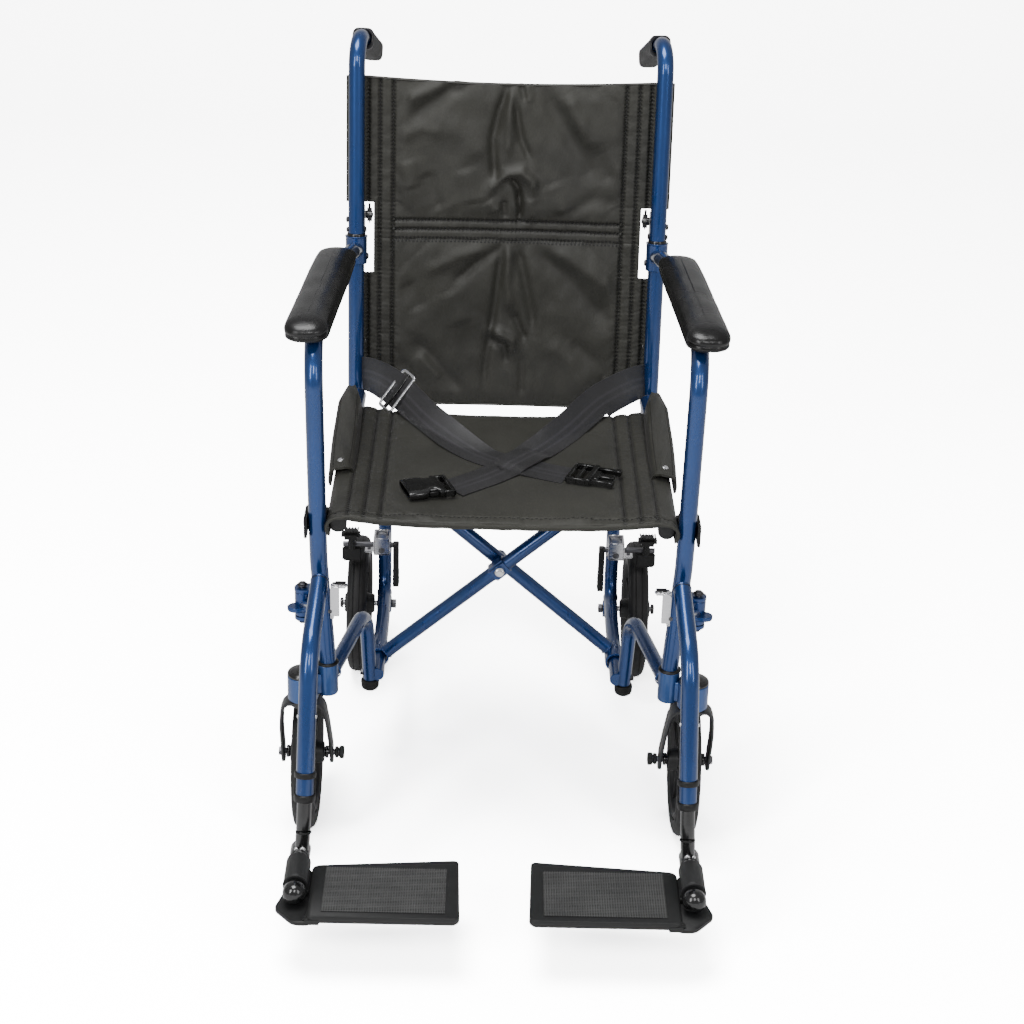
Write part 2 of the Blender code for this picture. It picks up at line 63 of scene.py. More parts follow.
X, Y, Z = Vector((1, 0, 0)), Vector((0, 1, 0)), Vector((0, 0, 1))
DOWN = Vector((0, 0, -1))

DATUM_Y = 268.6                      # the modelling datum's place on the frame's own Y
TUBE_R, LOWER_R = 11.1, 9.6          # main tube, lower tube
POST_X = 207.0                       # back post
POST_Y, POST_Z, SLOPE = -4.0, 448.0, 0.1273    # where it starts to lean back, and how much
LEAN = Vector((0, SLOPE, 1)).normalized()
FRONT_X, FRONT_Y = 217.0, -433.0     # foot of the front post
ARM_Z = 674.5                        # arm tube
HINGE_X, HINGE_Y = 247.0, -430.0     # swing-away hinge of the leg hanger
STEM_X, STEM_Y = 247.0, -449.0       # caster stem
WHEEL_R, WHEEL_X = 101.0, 204.0
AXLE_Y, CASTER_Y = 12.0, -399.0      # rear and caster axles
FOLD_Y, FOLD_Z = 47.0, 657.0         # back folding hinge
BASE_X, BASE_Z = 164.2, 133.0        # bottom side tube, which carries the brace
LEG_X, LEG_Y = 174.0, -246.0         # short leg with the rubber tip
RAIL_X, RAIL_Z = 202.3, 451.6        # seat rail
RAIL_Y0, RAIL_Y1 = -431.0, -28.0


def back_y(z):
    return POST_Y + SLOPE * (z - POST_Z)


def on_post(z, x=POST_X):
    return Vector((x, back_y(z), z))


def at_stem(z):
    return Vector((STEM_X, STEM_Y, z))


def metres(x, y, z):
    return Vector((x * 0.001, (y + DATUM_Y) * 0.001, z * 0.001))


# ------------------------------------------------------------------ mesh helpers (mm)

def loft(rings, closed=False):
    """A skin over rings of points, capped unless the last ring joins the first."""
    bm = bmesh.new()
    rows = [[bm.verts.new(p) for p in ring] for ring in rings]
    count = len(rows[0])
    for a, b in zip(rows, rows[1:] + (rows[:1] if closed else [])):
        for i in range(count):
            j = (i + 1) % count
            bm.faces.new((a[i], a[j], b[j], b[i]))
    if not closed:
        bm.faces.new(rows[0][::-1])
        bm.faces.new(rows[-1])
    bmesh.ops.recalc_face_normals(bm, faces=bm.faces)
    return bm


def basis(axis):
    axis = Vector(axis).normalized()
    side = axis.cross(Z if abs(axis.z) < 0.9 else X).normalized()
    return axis, side, axis.cross(side).normalized()


def angles(count, phase=0.5):
    return [2 * math.pi * (i + phase) / count for i in range(count)]


def signed_power(value, power):
    return math.copysign(abs(value) ** power, value)


def tangent(points, i):
    ahead, behind = points[min(i + 1, len(points) - 1)], points[max(i - 1, 0)]
    return (Vector(ahead) - Vector(behind)).normalized()


def circle(centre, axis, r, n):
    _, u, v = basis(axis)
    centre = Vector(centre)
    return [centre + (u * math.cos(t) + v * math.sin(t)) * max(r, 0.02) for t in angles(n)]


def soften(profile, r, steps=3, closed=False):
    """The profile with its corners rounded off."""
    pts = [Vector((a, b, 0)) for a, b in profile]
    last, out = len(pts) - 1, []
    for i, corner in enumerate(pts):
        before, after = pts[i - 1], pts[(i + 1) % len(pts)]
        d = min(r, (before - corner).length * 0.45, (after - corner).length * 0.45)
        if d < 0.05 or (not closed and i in (0, last)):
            out.append(corner)
            continue
        a = corner + (before - corner).normalized() * d
        b = corner + (after - corner).normalized() * d
        for j in range(steps + 1):
            t = j / steps
            out.append(a * (1 - t) ** 2 + corner * 2 * t * (1 - t) + b * t * t)
    return [(v.x, v.y) for v in out]


def turned(origin, axis, profile, n=40, r=0.7):
    """A solid of revolution from (radius, height) points, its corners rounded by r."""
    axis = Vector(axis).normalized()
    prof = list(profile)
    if prof[0][0] > 0.5:
        prof = [(0.02, prof[0][1])] + prof
    if prof[-1][0] > 0.5:
        prof = prof + [(0.02, prof[-1][1])]
    return loft([circle(Vector(origin) + axis * h, axis, q, n) for q, h in soften(prof, r)])


def rod(origin, axis, r, length, n=40, edge=0.7):
    return turned(origin, axis, [(r, 0), (r, length)], n, edge)


def ring_of(origin, axis, profile, n=48, r=0.7):
    """A hollow ring from a closed (radius, height) outline."""
    axis = Vector(axis).normalized()
    return loft([circle(Vector(origin) + axis * h, axis, q, n)
                 for q, h in soften(profile, r, closed=True)], closed=True)


def hexagon(origin, axis, r, h, washer=0.0):
    """A chamfered hexagon head, with an optional washer under it, as a list."""
    axis = Vector(axis).normalized()
    origin = Vector(origin)
    head = loft([circle(origin + axis * t, axis, q, 6)
                 for q, t in ((r, 0), (r, h * 0.82), (r * 0.86, h))])
    return [head] + ([rod(origin - axis * 0.2, axis, r * 1.25, washer, 32, 0.3)] if washer else [])


def dome(origin, axis, r, h):
    return turned(origin, axis, [(r, 0), (r, h * 0.25), (r * 0.9, h * 0.62),
                                 (r * 0.6, h * 0.9), (0.02, h)], 28, 0.4)


def fillet(points, radii, step=5.0):
    """The path with an arc of the given radius at each inner point, every step degrees."""
    pts = [Vector(p) for p in points]
    out = [pts[0]]
    for before, corner, after, r in zip(pts, pts[1:], pts[2:], radii):
        a, b = (before - corner).normalized(), (after - corner).normalized()
        half = a.angle(b) / 2
        turn = math.pi - 2 * half
        if turn < math.radians(0.6):
            out.append(corner)
            continue
        d = r / math.tan(half)
        centre = corner + (a + b).normalized() * (r / math.sin(half))
        count = max(2, round(math.degrees(turn) / step))
        start = corner + a * d - centre
        axis = start.cross(corner + b * d - centre).normalized()
        for i in range(count + 1):
            out.append(centre + Matrix.Rotation(turn * i / count, 3, axis) @ start)
    return out + [pts[-1]]


def tube(points, r, bends=(), n=36, edge=0.8):
    """A round bar along a filleted path, with rounded end edges."""
    path = fillet(points, bends)
    if edge:
        d0, d1 = (path[1] - path[0]).normalized(), (path[-2] - path[-1]).normalized()
        path = [path[0], path[0] + d0 * edge] + path[1:-1] + [path[-1] + d1 * edge, path[-1]]
    _, u, _ = basis(tangent(path, 0))
    rings = []
    for i, p in enumerate(path):
        t = tangent(path, i)
        u = (u - t * u.dot(t)).normalized()
        v = t.cross(u)
        q = r - (edge * 0.8 if i in (0, len(path) - 1) else 0)
        rings.append([p + (u * math.cos(a) + v * math.sin(a)) * q for a in angles(n)])
    return loft(rings)


def box(lo, hi, bevel, seg=3):
    bm = bmesh.new()
    bmesh.ops.create_cube(bm, size=1.0)
    for v in bm.verts:
        v.co = Vector([(a + b) / 2 + c * (b - a) for a, b, c in zip(Vector(lo), Vector(hi), v.co)])
    bmesh.ops.bevel(bm, geom=bm.edges[:], offset=bevel, segments=seg, affect="EDGES",
                    clamp_overlap=True)
    return bm


def bar(a, b, w, h, up, bevel):
    """A straight rectangular bar from a to b, w across and h along up."""
    a, along = Vector(a), Vector(b) - Vector(a)
    t = along.normalized()
    side = t.cross(Vector(up)).normalized()
    bm = box((0, -w / 2, -h / 2), (along.length, w / 2, h / 2), bevel)
    turn = Matrix((t, side, side.cross(t))).transposed()
    for q in bm.verts:
        q.co = a + turn @ q.co
    bmesh.ops.recalc_face_normals(bm, faces=bm.faces)
    return bm


def inset(outline, depth):
    """The outline scaled about its middle, so that its farthest point moves in by depth."""
    cx, cy = (sum(p[k] for p in outline) / len(outline) for k in (0, 1))
    k = 1 - depth / max(math.hypot(a - cx, b - cy) for a, b in outline)
    return [(cx + (a - cx) * k, cy + (b - cy) * k) for a, b in outline]


def plate(outline, origin, normal, up, thick, corner=1.5, edge=0.5):
    """A flat plate with rounded outline corners and softened edges."""
    n, u = Vector(normal).normalized(), Vector(up).normalized()
    side = u.cross(n)
    pts = soften(outline, corner, 4, closed=True)
    return loft([[Vector(origin) + side * a + u * b + n * h for a, b in inset(pts, depth)]
                 for depth, h in ((edge, 0), (0, edge), (0, thick - edge), (edge, thick))])


def weld(centre, axis, r, w=2.2):
    """A fine rippled weld bead round a tube."""
    centre = Vector(centre)
    axis, u, v = basis(axis)
    bm = ring_of(centre, axis, [(r - 0.8, -w), (r + w * 0.45, -w * 0.5), (r + w * 0.62, 0),
                                (r + w * 0.45, w * 0.5), (r - 0.8, w)], 48, 0.8)
    for vert in bm.verts:
        d = vert.co - centre
        vert.co += d.normalized() * 0.22 * math.sin(math.atan2(d.dot(u), d.dot(v)) * 22)
    return bm


# ------------------------------------------------------------------ materials (metres)

MATERIALS = {}


class Graph:
    """A node graph being written for one material."""

    def __init__(self, name):
        material = bpy.data.materials.new(name)
        material.use_nodes = True
        self.tree = material.node_tree
        self.shader = self.tree.nodes["Principled BSDF"]
        self.coords = self.tree.nodes.new("ShaderNodeTexCoord").outputs
        MATERIALS[name] = material

    def put(self, socket, value):
        if hasattr(value, "is_output"):
            self.tree.links.new(value, socket)
        else:
            socket.default_value = value

    def add(self, kind, output, inputs, **settings):
        node = self.tree.nodes.new("ShaderNode" + kind)
        for key, value in settings.items():
            setattr(node, key, value)
        for key, value in inputs.items():
            self.put(node.inputs[key], value)
        return node.outputs[output]

    def noise(self, scale, detail=3.0, rough=0.55, stretch=None):
        vector = self.coords["Object"]
        if stretch:
            vector = self.add("Mapping", "Vector", {"Scale": stretch, "Vector": vector})
        return self.add("TexNoise", "Fac", {"Vector": vector, "Scale": scale, "Detail": detail,
                                            "Roughness": rough})

    def wave(self, period, axis, vector=None, distortion=0.0, detail_scale=1.0):
        """Bands of the given period in the coordinate's units, from 0 to 1."""
        return self.add("TexWave", "Fac", {
            "Vector": vector or self.coords["Object"], "Scale": 2 * math.pi / (20.0 * period),
            "Distortion": distortion, "Detail": 1.0, "Detail Scale": detail_scale,
        }, wave_type="BANDS", bands_direction=axis, wave_profile="SIN")

    def axes(self, vector):
        return self.tree_split(vector).outputs

    def tree_split(self, vector):
        node = self.tree.nodes.new("ShaderNodeSeparateXYZ")
        self.tree.links.new(vector, node.inputs[0])
        return node

    def math(self, op, a, b=0.0):
        return self.add("Math", 0, {0: a, 1: b}, operation=op)

    def distance(self, value, place):
        return self.math("ABSOLUTE", self.math("SUBTRACT", value, place))

    def ramp(self, value, span, out=(0.0, 1.0)):
        return self.add("MapRange", "Result", {
            "From Min": span[0], "From Max": span[1], "To Min": out[0], "To Max": out[1],
            "Value": value})

    def mix(self, factor, a, b):
        """Colour a where the factor is 0, b where it is 1."""
        a, b = ((*c, 1) if isinstance(c, tuple) else c for c in (a, b))
        return self.add("Mix", 2, {0: factor, 6: a, 7: b}, data_type="RGBA")

    def bump(self, height, depth, strength, normal=None):
        inputs = {"Height": height, "Distance": depth, "Strength": strength}
        if normal is not None:
            inputs["Normal"] = normal
        return self.add("Bump", "Normal", inputs)

    def set(self, **inputs):
        for key, value in inputs.items():
            self.put(self.shader.inputs[key.replace("_", " ")], value)


def paint(name, light, dark, rough, metal, coat):
    """Metallic paint that darkens away from the eye, with flakes, haze and light rubbing."""
    g = Graph(name)
    flake = g.noise(scale=5200, detail=1.0)
    haze = g.noise(scale=9)
    rub = g.noise(scale=60, detail=5.0, rough=0.65, stretch=(1, 1, 0.3))
    c = g.mix(g.add("LayerWeight", "Facing", {"Blend": 0.35}), light, dark)
    glint = tuple(min(1, x * 1.9 + 0.01) for x in light)
    c = g.mix(g.ramp(flake, span=(0.35, 0.7), out=(0.0, 0.22)), c, glint)
    c = g.mix(g.ramp(haze, span=(0.35, 0.7), out=(0.0, 0.16)), c, dark)
    n = g.bump(g.noise(scale=340, detail=2.0), depth=0.00006, strength=0.35)
    n = g.bump(flake, depth=0.00002, strength=0.4, normal=n)
    g.set(Base_Color=c, Metallic=metal, Coat_Weight=coat, Coat_Roughness=0.07, Normal=n,
          Roughness=g.ramp(rub, span=(0.3, 0.75), out=(rough, rough + 0.12)))


def woven(name, second, seams, cross, reach):
    """Plain woven nylon in X and a second axis, with painted shade in the puckered grooves of sewn
    seams.

    seams lie at |x|, cross seams at z where |x| is under reach."""
    g = Graph(name)
    thread = {"period": 0.0013, "distortion": 0.6, "detail_scale": 3}
    weave = g.math("MULTIPLY", g.wave(axis="X", **thread), g.wave(axis=second, **thread))
    slub = g.noise(scale=700, detail=2.0, stretch=(1, 0.2, 1))
    fade = g.noise(scale=7, detail=4.0, rough=0.6)
    speck = g.noise(scale=2600, detail=1.0)
    c = g.mix(weave, (0.0125, 0.0122, 0.0090), (0.036, 0.0355, 0.0270))
    for factor, colour in (
            (g.ramp(fade, span=(0.35, 0.7), out=(0.0, 0.45)), (0.044, 0.0435, 0.0330)),
            (g.ramp(speck, span=(0.55, 0.8), out=(0.0, 0.5)), (0.066, 0.064, 0.050)),
            (g.ramp(slub, span=(0.45, 0.75), out=(0.0, 0.35)), (0.009, 0.009, 0.0075))):
        c = g.mix(factor, c, colour)
    axes = g.axes(g.coords["Object"])
    across = g.math("ABSOLUTE", axes[0])
    sewn = 0.0
    for places, value, run, limit in ((seams, across, second, None), (cross, axes[2], "X", reach)):
        if not places:
            continue
        # painted shade: each seam groove is darkened in steps that follow its puckers
        step = g.ramp(g.wave(period=0.0052, axis=run), span=(0.25, 0.8))
        for place in places:
            dark = g.math("ADD", g.math("MULTIPLY", step, 0.75), 0.25)
            d = g.distance(value, place)
            near = g.math("MULTIPLY", g.ramp(d, span=(0.0040, 0.0012)), dark)
            if limit:
                near = g.math("MULTIPLY", near, g.math("LESS_THAN", across, limit))
            sewn = g.math("MAXIMUM", sewn, near)
    # painted shade laid over the cloth colour along the seam grooves
    c = g.mix(g.math("MULTIPLY", sewn, 0.85), c, (0.0025, 0.0025, 0.0022))
    n = g.bump(weave, depth=0.0002, strength=0.75)
    n = g.bump(g.noise(scale=140, detail=4.0), depth=0.0006, strength=0.5, normal=n)
    n = g.bump(g.math("MULTIPLY", sewn, -1.0), depth=0.0010, strength=0.8, normal=n)
    g.set(Base_Color=c, Roughness=g.ramp(fade, span=(0.3, 0.7), out=(0.46, 0.58)), Normal=n,
          Sheen_Weight=0.06, Sheen_Roughness=0.45, Specular_IOR_Level=0.55)


def vinyl():
    g = Graph("vinyl")
    grain = g.add("TexVoronoi", "Distance", {"Vector": g.coords["Object"], "Scale": 620},
                  feature="F1")
    wear = g.noise(scale=14, detail=4.0)
    n = g.bump(grain, depth=0.00022, strength=0.5)
    n = g.bump(g.noise(scale=300, detail=4.0), depth=0.0002, strength=0.4, normal=n)
    c = g.mix(g.ramp(wear, span=(0.35, 0.7)), (0.0035, 0.0035, 0.0036), (0.0075, 0.0075, 0.008))
    g.set(Base_Color=c, Roughness=g.ramp(wear, span=(0.3, 0.7), out=(0.23, 0.30)), Normal=n,
          Specular_IOR_Level=0.55)


def webbing():
    """Ribbed strap with two paler stripes, either side of its middle (U runs across)."""
    g = Graph("webbing")
    uv = g.coords["UV"]
    off = g.distance(g.distance(g.axes(uv)[0], 0.5), 0.10)
    stripes = g.ramp(off, span=(0.055, 0.02))
    ribs = g.wave(period=0.030, axis="Y", vector=uv, distortion=0.4, detail_scale=8.0)
    fine = g.wave(period=0.028, axis="X", vector=uv, distortion=0.3, detail_scale=8.0)
    cloud = g.noise(scale=22, detail=4.0)
    c = g.mix(g.ramp(cloud, span=(0.3, 0.7)), (0.0058, 0.0055, 0.0066), (0.0130, 0.0123, 0.0150))
    c = g.mix(g.math("MULTIPLY", stripes, 0.55), c, (0.040, 0.0375, 0.0455))
    c = g.mix(g.ramp(ribs, span=(0.2, 1.0), out=(0.0, 0.35)), c, (0.004, 0.004, 0.0045))
    relief = g.math("ADD", g.math("MULTIPLY", ribs, fine), g.math("MULTIPLY", stripes, -0.6))
    g.set(Base_Color=c, Roughness=g.ramp(cloud, span=(0.3, 0.7), out=(0.30, 0.42)),
          Normal=g.bump(relief, depth=0.00025, strength=0.7), Sheen_Weight=0.10,
          Specular_IOR_Level=0.8)


def moulded(name, lo, hi, rough, grain=1500, depth=0.00009, specular=0.5, coat=0.0):
    """Moulded plastic or rubber, clouded between two colours, grained and scuffed paler."""
    g = Graph(name)
    scuff = g.noise(scale=90, detail=5.0, rough=0.7, stretch=(1, 0.25, 1))
    c = g.mix(g.noise(scale=18, detail=4.0), lo, hi)
    c = g.mix(g.ramp(scuff, span=(0.62, 0.82), out=(0.0, 0.35)), c,
              tuple(x * 1.8 + 0.006 for x in hi))
    n = g.bump(g.noise(scale=grain), depth=depth, strength=0.6)
    n = g.bump(g.noise(scale=35, detail=2.0), depth=0.0003, strength=0.25, normal=n)
    g.set(Base_Color=c, Roughness=g.ramp(scuff, span=(0.3, 0.75), out=rough), Normal=n,
          Specular_IOR_Level=specular, Coat_Weight=coat, Coat_Roughness=0.15)


# name, dark colour, light colour, roughness range, then grain scale, grain depth, specular
# and coat where they differ from moulded()'s own
MOULDED = (
    ("plastic", (0.0040, 0.0040, 0.0043), (0.0085, 0.0085, 0.009), (0.32, 0.46)),
    ("gloss", (0.0028, 0.0028, 0.003), (0.0055, 0.0055, 0.006), (0.16, 0.26), 900, 0.00003,
     0.6, 0.6),
    ("grey", (0.013, 0.0135, 0.014), (0.024, 0.0245, 0.0255), (0.38, 0.54)),
    ("foot", (0.0085, 0.009, 0.009), (0.0165, 0.017, 0.017), (0.40, 0.56), 1100, 0.00012),
    ("fork", (0.022, 0.0225, 0.024), (0.040, 0.041, 0.043), (0.32, 0.46)),
    ("rubber", (0.0045, 0.0045, 0.0045), (0.0105, 0.0105, 0.0105), (0.55, 0.75), 1700, 0.00015),
    ("grip", (0.0055, 0.0052, 0.0058), (0.0135, 0.0125, 0.014), (0.36, 0.52), 1300, 0.00015),
    ("tyre", (0.0035, 0.0035, 0.0037), (0.0090, 0.0090, 0.0095), (0.48, 0.68), 900, 0.00018),
    ("blacktube", (0.0028, 0.0028, 0.0032), (0.006, 0.006, 0.0065), (0.20, 0.30), 2600, 0.00003,
     0.6, 0.8),
    ("thread", (0.0025, 0.0025, 0.0022), (0.006, 0.006, 0.0055), (0.55, 0.70)),
)
# name, dark colour, light colour, roughness range
METALS = (
    ("steel", (0.48, 0.48, 0.50), (0.66, 0.66, 0.68), (0.24, 0.36)),
    ("chrome", (0.78, 0.78, 0.80), (0.90, 0.90, 0.92), (0.08, 0.18)),
    ("darksteel", (0.10, 0.10, 0.11), (0.18, 0.18, 0.19), (0.28, 0.42)),
)


def metal(name, lo, hi, rough):
    g = Graph(name)
    brush = g.noise(scale=500, detail=4.0, rough=0.6, stretch=(0.1, 1, 1))
    g.set(Base_Color=g.mix(g.noise(scale=40, detail=4.0), lo, hi), Metallic=1.0,
          Roughness=g.ramp(brush, span=(0.3, 0.7), out=rough),
          Normal=g.bump(brush, depth=0.00003, strength=0.4))


def foot_grid():
    """Dark moulding whose raised grid is coloured paler than the hollows between, more in some
    patches than others.
    """
    g = Graph("foot_grid")
    height = g.axes(g.coords["Object"])[2]
    ridge_patchiness = g.ramp(g.noise(scale=30, detail=4.0), span=(0.3, 0.7), out=(0.65, 1.0))
    ridge = g.math("MULTIPLY", g.ramp(height, span=(0.08778, 0.08812)), ridge_patchiness)
    g.set(Base_Color=g.mix(ridge, (0.0055, 0.0058, 0.0058), (0.085, 0.086, 0.084)),
          Roughness=g.ramp(g.noise(scale=90), span=(0.3, 0.7), out=(0.38, 0.52)),
          Normal=g.bump(g.noise(scale=1100, detail=2.0), depth=0.0001, strength=0.5))


def floor():
    """Pale floor that the camera sees as a much brighter white."""
    g = Graph("floor")
    g.set(Base_Color=g.mix(g.noise(scale=3, detail=4.0), (0.86, 0.86, 0.865), (0.90, 0.90, 0.90)),
          Normal=g.bump(g.noise(scale=400), depth=0.0001, strength=0.2),
          Roughness=0.75, Specular_IOR_Level=0.2)
    bright = g.add("BsdfDiffuse", 0, {"Color": (13.0, 13.0, 13.0, 1)})
    seen = g.add("LightPath", "Is Camera Ray", {})
    surface = g.add("MixShader", 0, {0: seen, 1: g.shader.outputs[0], 2: bright})
    g.put(g.tree.nodes["Material Output"].inputs["Surface"], surface)


paint("blue", light=(0.0085, 0.060, 0.235), dark=(0.0009, 0.0075, 0.040),
      rough=0.24, metal=0.62, coat=1.0)
paint("blue_light", light=(0.035, 0.110, 0.330), dark=(0.008, 0.030, 0.130),
      rough=0.34, metal=0.50, coat=0.8)
woven("nylon_back", "Z", seams=(0.158, 0.176, 0.192), cross=(0.6602, 0.6732, 0.6860), reach=0.158)
woven("nylon_seat", "Y", seams=(0.150, 0.170, 0.190), cross=(), reach=None)
vinyl()
webbing()
for entry in MOULDED:
    moulded(*entry)
for entry in METALS:
    metal(*entry)
foot_grid()
floor()


# ------------------------------------------------------------------ pieces

def mesh_from(name, parts, mirror=False):
    """One mesh from (list of bmeshes in mm, material) pairs; the bmeshes are kept."""
    verts, faces, indices, used = [], [], [], []
    side = -1 if mirror else 1
    for shapes, material in parts:
        if material not in used:
            used.append(material)
        for bm in shapes:
            bm.verts.index_update()
            base = len(verts)
            verts += [metres(v.co.x * side, v.co.y, v.co.z) for v in bm.verts]
            for f in bm.faces:
                ids = [base + v.index for v in f.verts]
                faces.append(ids[::-1] if mirror else ids)
                indices.append(used.index(material))
    me = bpy.data.meshes.new(name)
    me.from_pydata(verts, [], faces)
    for material in used:
        me.materials.append(MATERIALS[material])
    me.polygons.foreach_set("material_index", indices)
    me.update()
    me.shade_smooth()
    me.set_sharp_from_angle(angle=math.radians(38))
    return me


def link(name, data):
    ob = bpy.data.objects.new(name, data)
    bpy.context.scene.collection.objects.link(ob)
    return ob


def one(name, node, body, parts, mirror=False):
    ob = link(name, mesh_from(name, parts, mirror))
    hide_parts(node)
    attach(ob, body)


def both(name, node, body, parts):
    """Left and right pieces from parts modelled on the +X side; {} in body takes the side."""
    for side in ("left", "right"):
        one(f"{name}_{side}", f"{node}_{side}", body.format(side), parts, side == "right")


def stem_web():
    """The block that joins the foot of the front post to the caster stem's sleeve."""
    along = Vector((STEM_X - FRONT_X, STEM_Y - FRONT_Y, 0)).normalized()
    across = Vector((-along.y, along.x, 0)) * 7
    a, b = Vector((FRONT_X, FRONT_Y, 0)), Vector((STEM_X, STEM_Y, 0)) - along * 10
    return loft([[p + Vector((0, 0, z)) for p in (a + across * k, a - across * k,
                                                  b - across * k, b + across * k)]
                 for z, k in ((217.0, 0.9), (218.0, 1), (243, 1), (244.0, 0.9))])


HINGE_EAR = [(9, -30), (10.5, 0), (9.6, 4.2), (7.5, 7.5), (4.2, 9.6), (0, 10.5), (-4.2, 9.6),
             (-7.5, 7.5), (-9.6, 4.2), (-10.5, 0), (-9, -30)]


def side_frame():
    top = on_post(648)
    tubes = [
        tube([on_post(662), on_post(POST_Z), (POST_X, -3, 424), (166, 0, 318), (166, 0, 262)],
             TUBE_R, [400, 70, 70]),
        tube([(166, 0, 300), (166, 0, BASE_Z), (BASE_X, -90, BASE_Z), (BASE_X, -252, BASE_Z)],
             LOWER_R, [34, 100]),
        tube([top, (210, -34, 664), (219, -104, ARM_Z), (223, -165, ARM_Z), (234, -345, ARM_Z),
              (229.5, FRONT_Y, ARM_Z), (227, FRONT_Y, 452), (226, FRONT_Y, 400),
              (FRONT_X, FRONT_Y, 262), (FRONT_X, FRONT_Y, 226)],
             TUBE_R, [60, 90, 150, 90, 44, 300, 200, 60]),
        tube([(FRONT_X, FRONT_Y, 231), (179.5, LEG_Y, 231), (LEG_X, LEG_Y, 124)], LOWER_R, [34]),
        rod((157, AXLE_Y, WHEEL_R), X, 13, 21, 40, 1.2),
        box((160.5, -7, 100), (171.5, 24, 153), 2.5),
        plate([(-8, -10), (8, -10), (8, 9), (5, 12), (-5, 12), (-8, 9)],
              (203.5, FOLD_Y - 5.5, FOLD_Z), X, Y, 7.0),
        # socket over the back post
        turned(on_post(630), LEAN, [(14.3, 0), (14.8, 1.2), (14.8, 36.5), (15.6, 37.2),
                                    (15.6, 38.6), (11.8, 38.6), (11.6, 36)], 56, 0.4),
        weld((166, -13, BASE_Z), Y, LOWER_R),
        weld((212, -411, 231), (0.2, -1, 0), LOWER_R + 0.6),
    ]
    caster_mount = [
        turned((FRONT_X, FRONT_Y, 213.5), Z, [(12.9, 0), (13.6, 1), (13.6, 42), (12.4, 43)],
               48, 0.6),
        turned(at_stem(213.5), Z, [(18.6, 0), (19.5, 1.2), (19.5, 33.2), (18.9, 34)], 56, 0.6),
        stem_web(),
    ]
    collar = turned((FRONT_X, FRONT_Y, 256.2), Z,
                    [(14.2, 0), (14.4, 1.4), (13.2, 2.6), (11.2, 3.4)], 48, 0.4)
    ears = [plate(HINGE_EAR, (HINGE_X, HINGE_Y, z), Z, X, 5.0, 0.8) for z in (318.0, 357.0)]
    hinge_sleeve = turned((226.5, FRONT_Y, 326), Z,
                          [(12.6, 0), (12.8, 2), (12.8, 26), (12.4, 28)], 40)
    return [
        (tubes, "blue"), (caster_mount, "blue_light"), ([collar], "plastic"),
        (ears + [hinge_sleeve], "blue"),
        ([turned(top + LEAN * 19.5, LEAN, [(12.6, 0), (12.9, 1.0), (12.6, 4.2), (11.4, 4.6)],
                 40, 0.4)], "gloss"),
        ([dome(top + Vector((0, -14.2, 0)) - LEAN * 2, (0, -1, 0.12), 2.9, 1.9)], "darksteel"),
        ([dome(on_post(640, 192.6), -X, 4.6, 3.0),
          dome(on_post(521, 193.2), (-0.9, -0.4, 0), 3.6, 2.0)], "gloss"),
        (hexagon(on_post(640, 221.2), X, 5.2, 3.4, 0.8)
         + hexagon((236.2, FRONT_Y + 1, 520), X, 4.4, 2.6, 0.6)
         + hexagon((157.6, -2, 262), -X, 4.4, 3.2, 0.8), "steel"),
        ([dome((217.5, FRONT_Y - 11.2, 241), (0, -1, 0), 2.4, 1.6)], "chrome"),
        (hexagon((183.2, LEG_Y, 133.6), X, 4.6, 4.2, 0.8)
         + [rod((165.0, LEG_Y, 133.6), -X, 2.4, 6.5, 20)], "darksteel"),
        ([turned(at_stem(212.6), Z, [(15.8, 0), (16.2, 0.8)], 40, 0.2)], "plastic"),
        # screws under the arm tube
        ([dome((x, y, ARM_Z - 10.6), -Z, 3.6, 2.2) for x, y in ((215.5, -168), (232.6, -372))],
         "darksteel")]


both("frame_tubes", "side_frame", "{}_side", side_frame())

PAD_X0, PAD_X1, PAD_Y0, PAD_Y1, PAD_Z = 203.0, 256.0, -430.0, -128.0, 687.0
PAD_MID = (PAD_X0 + PAD_X1) / 2
# (inset, height) up the pad's side to the start of its crown
PAD_SIDE = [(3.0, 0), (1.2, 0.5), (0.3, 1.8), (0.0, 3.4), (0.5, 5.0), (1.9, 5.7), (1.9, 6.2),
            (0.4, 6.8), (-0.4, 8.4), (-0.7, 11)]


def pad_loop(inset_x, inset_y, r):
    """Rounded rectangle inside the pad, with extra points for the crown to bend along."""
    x0, x1 = PAD_X0 + inset_x, PAD_X1 - inset_x
    y0, y1 = PAD_Y0 + inset_y, PAD_Y1 - inset_y
    r = max(min(r, (x1 - x0) / 2 - 0.02, (y1 - y0) / 2 - 0.02), 0.02)
    corners = ((x1 - r, y1 - r), (x0 + r, y1 - r), (x0 + r, y0 + r), (x1 - r, y0 + r))
    arcs = []
    for k, (cx, cy) in enumerate(corners):
        turns = [math.radians(90 * k + 9 * i) for i in range(11)]
        arcs.append([(cx + r * math.cos(t), cy + r * math.sin(t)) for t in turns])
    out = []
    for k, arc in enumerate(arcs):
        (ax, ay), (bx, by) = arc[-1], arcs[(k + 1) % 4][0]
        count = 22 if k % 2 else 6
        out += arc + [(ax + (bx - ax) * j / count, ay + (by - ay) * j / count)
                      for j in range(1, count)]
    return out


def pad_skew(x, y, z):
    return Vector((x - 0.066 * (y + 275), y, z))


def pad_waist(x, y, z):
    t = (y - PAD_Y0) / (PAD_Y1 - PAD_Y0)
    waist = 1.0 - 0.035 * math.sin(math.pi * t) - 0.10 * max(0.0, (t - 0.7) / 0.3)
    return pad_skew((x - PAD_MID) * waist + PAD_MID, y, z)


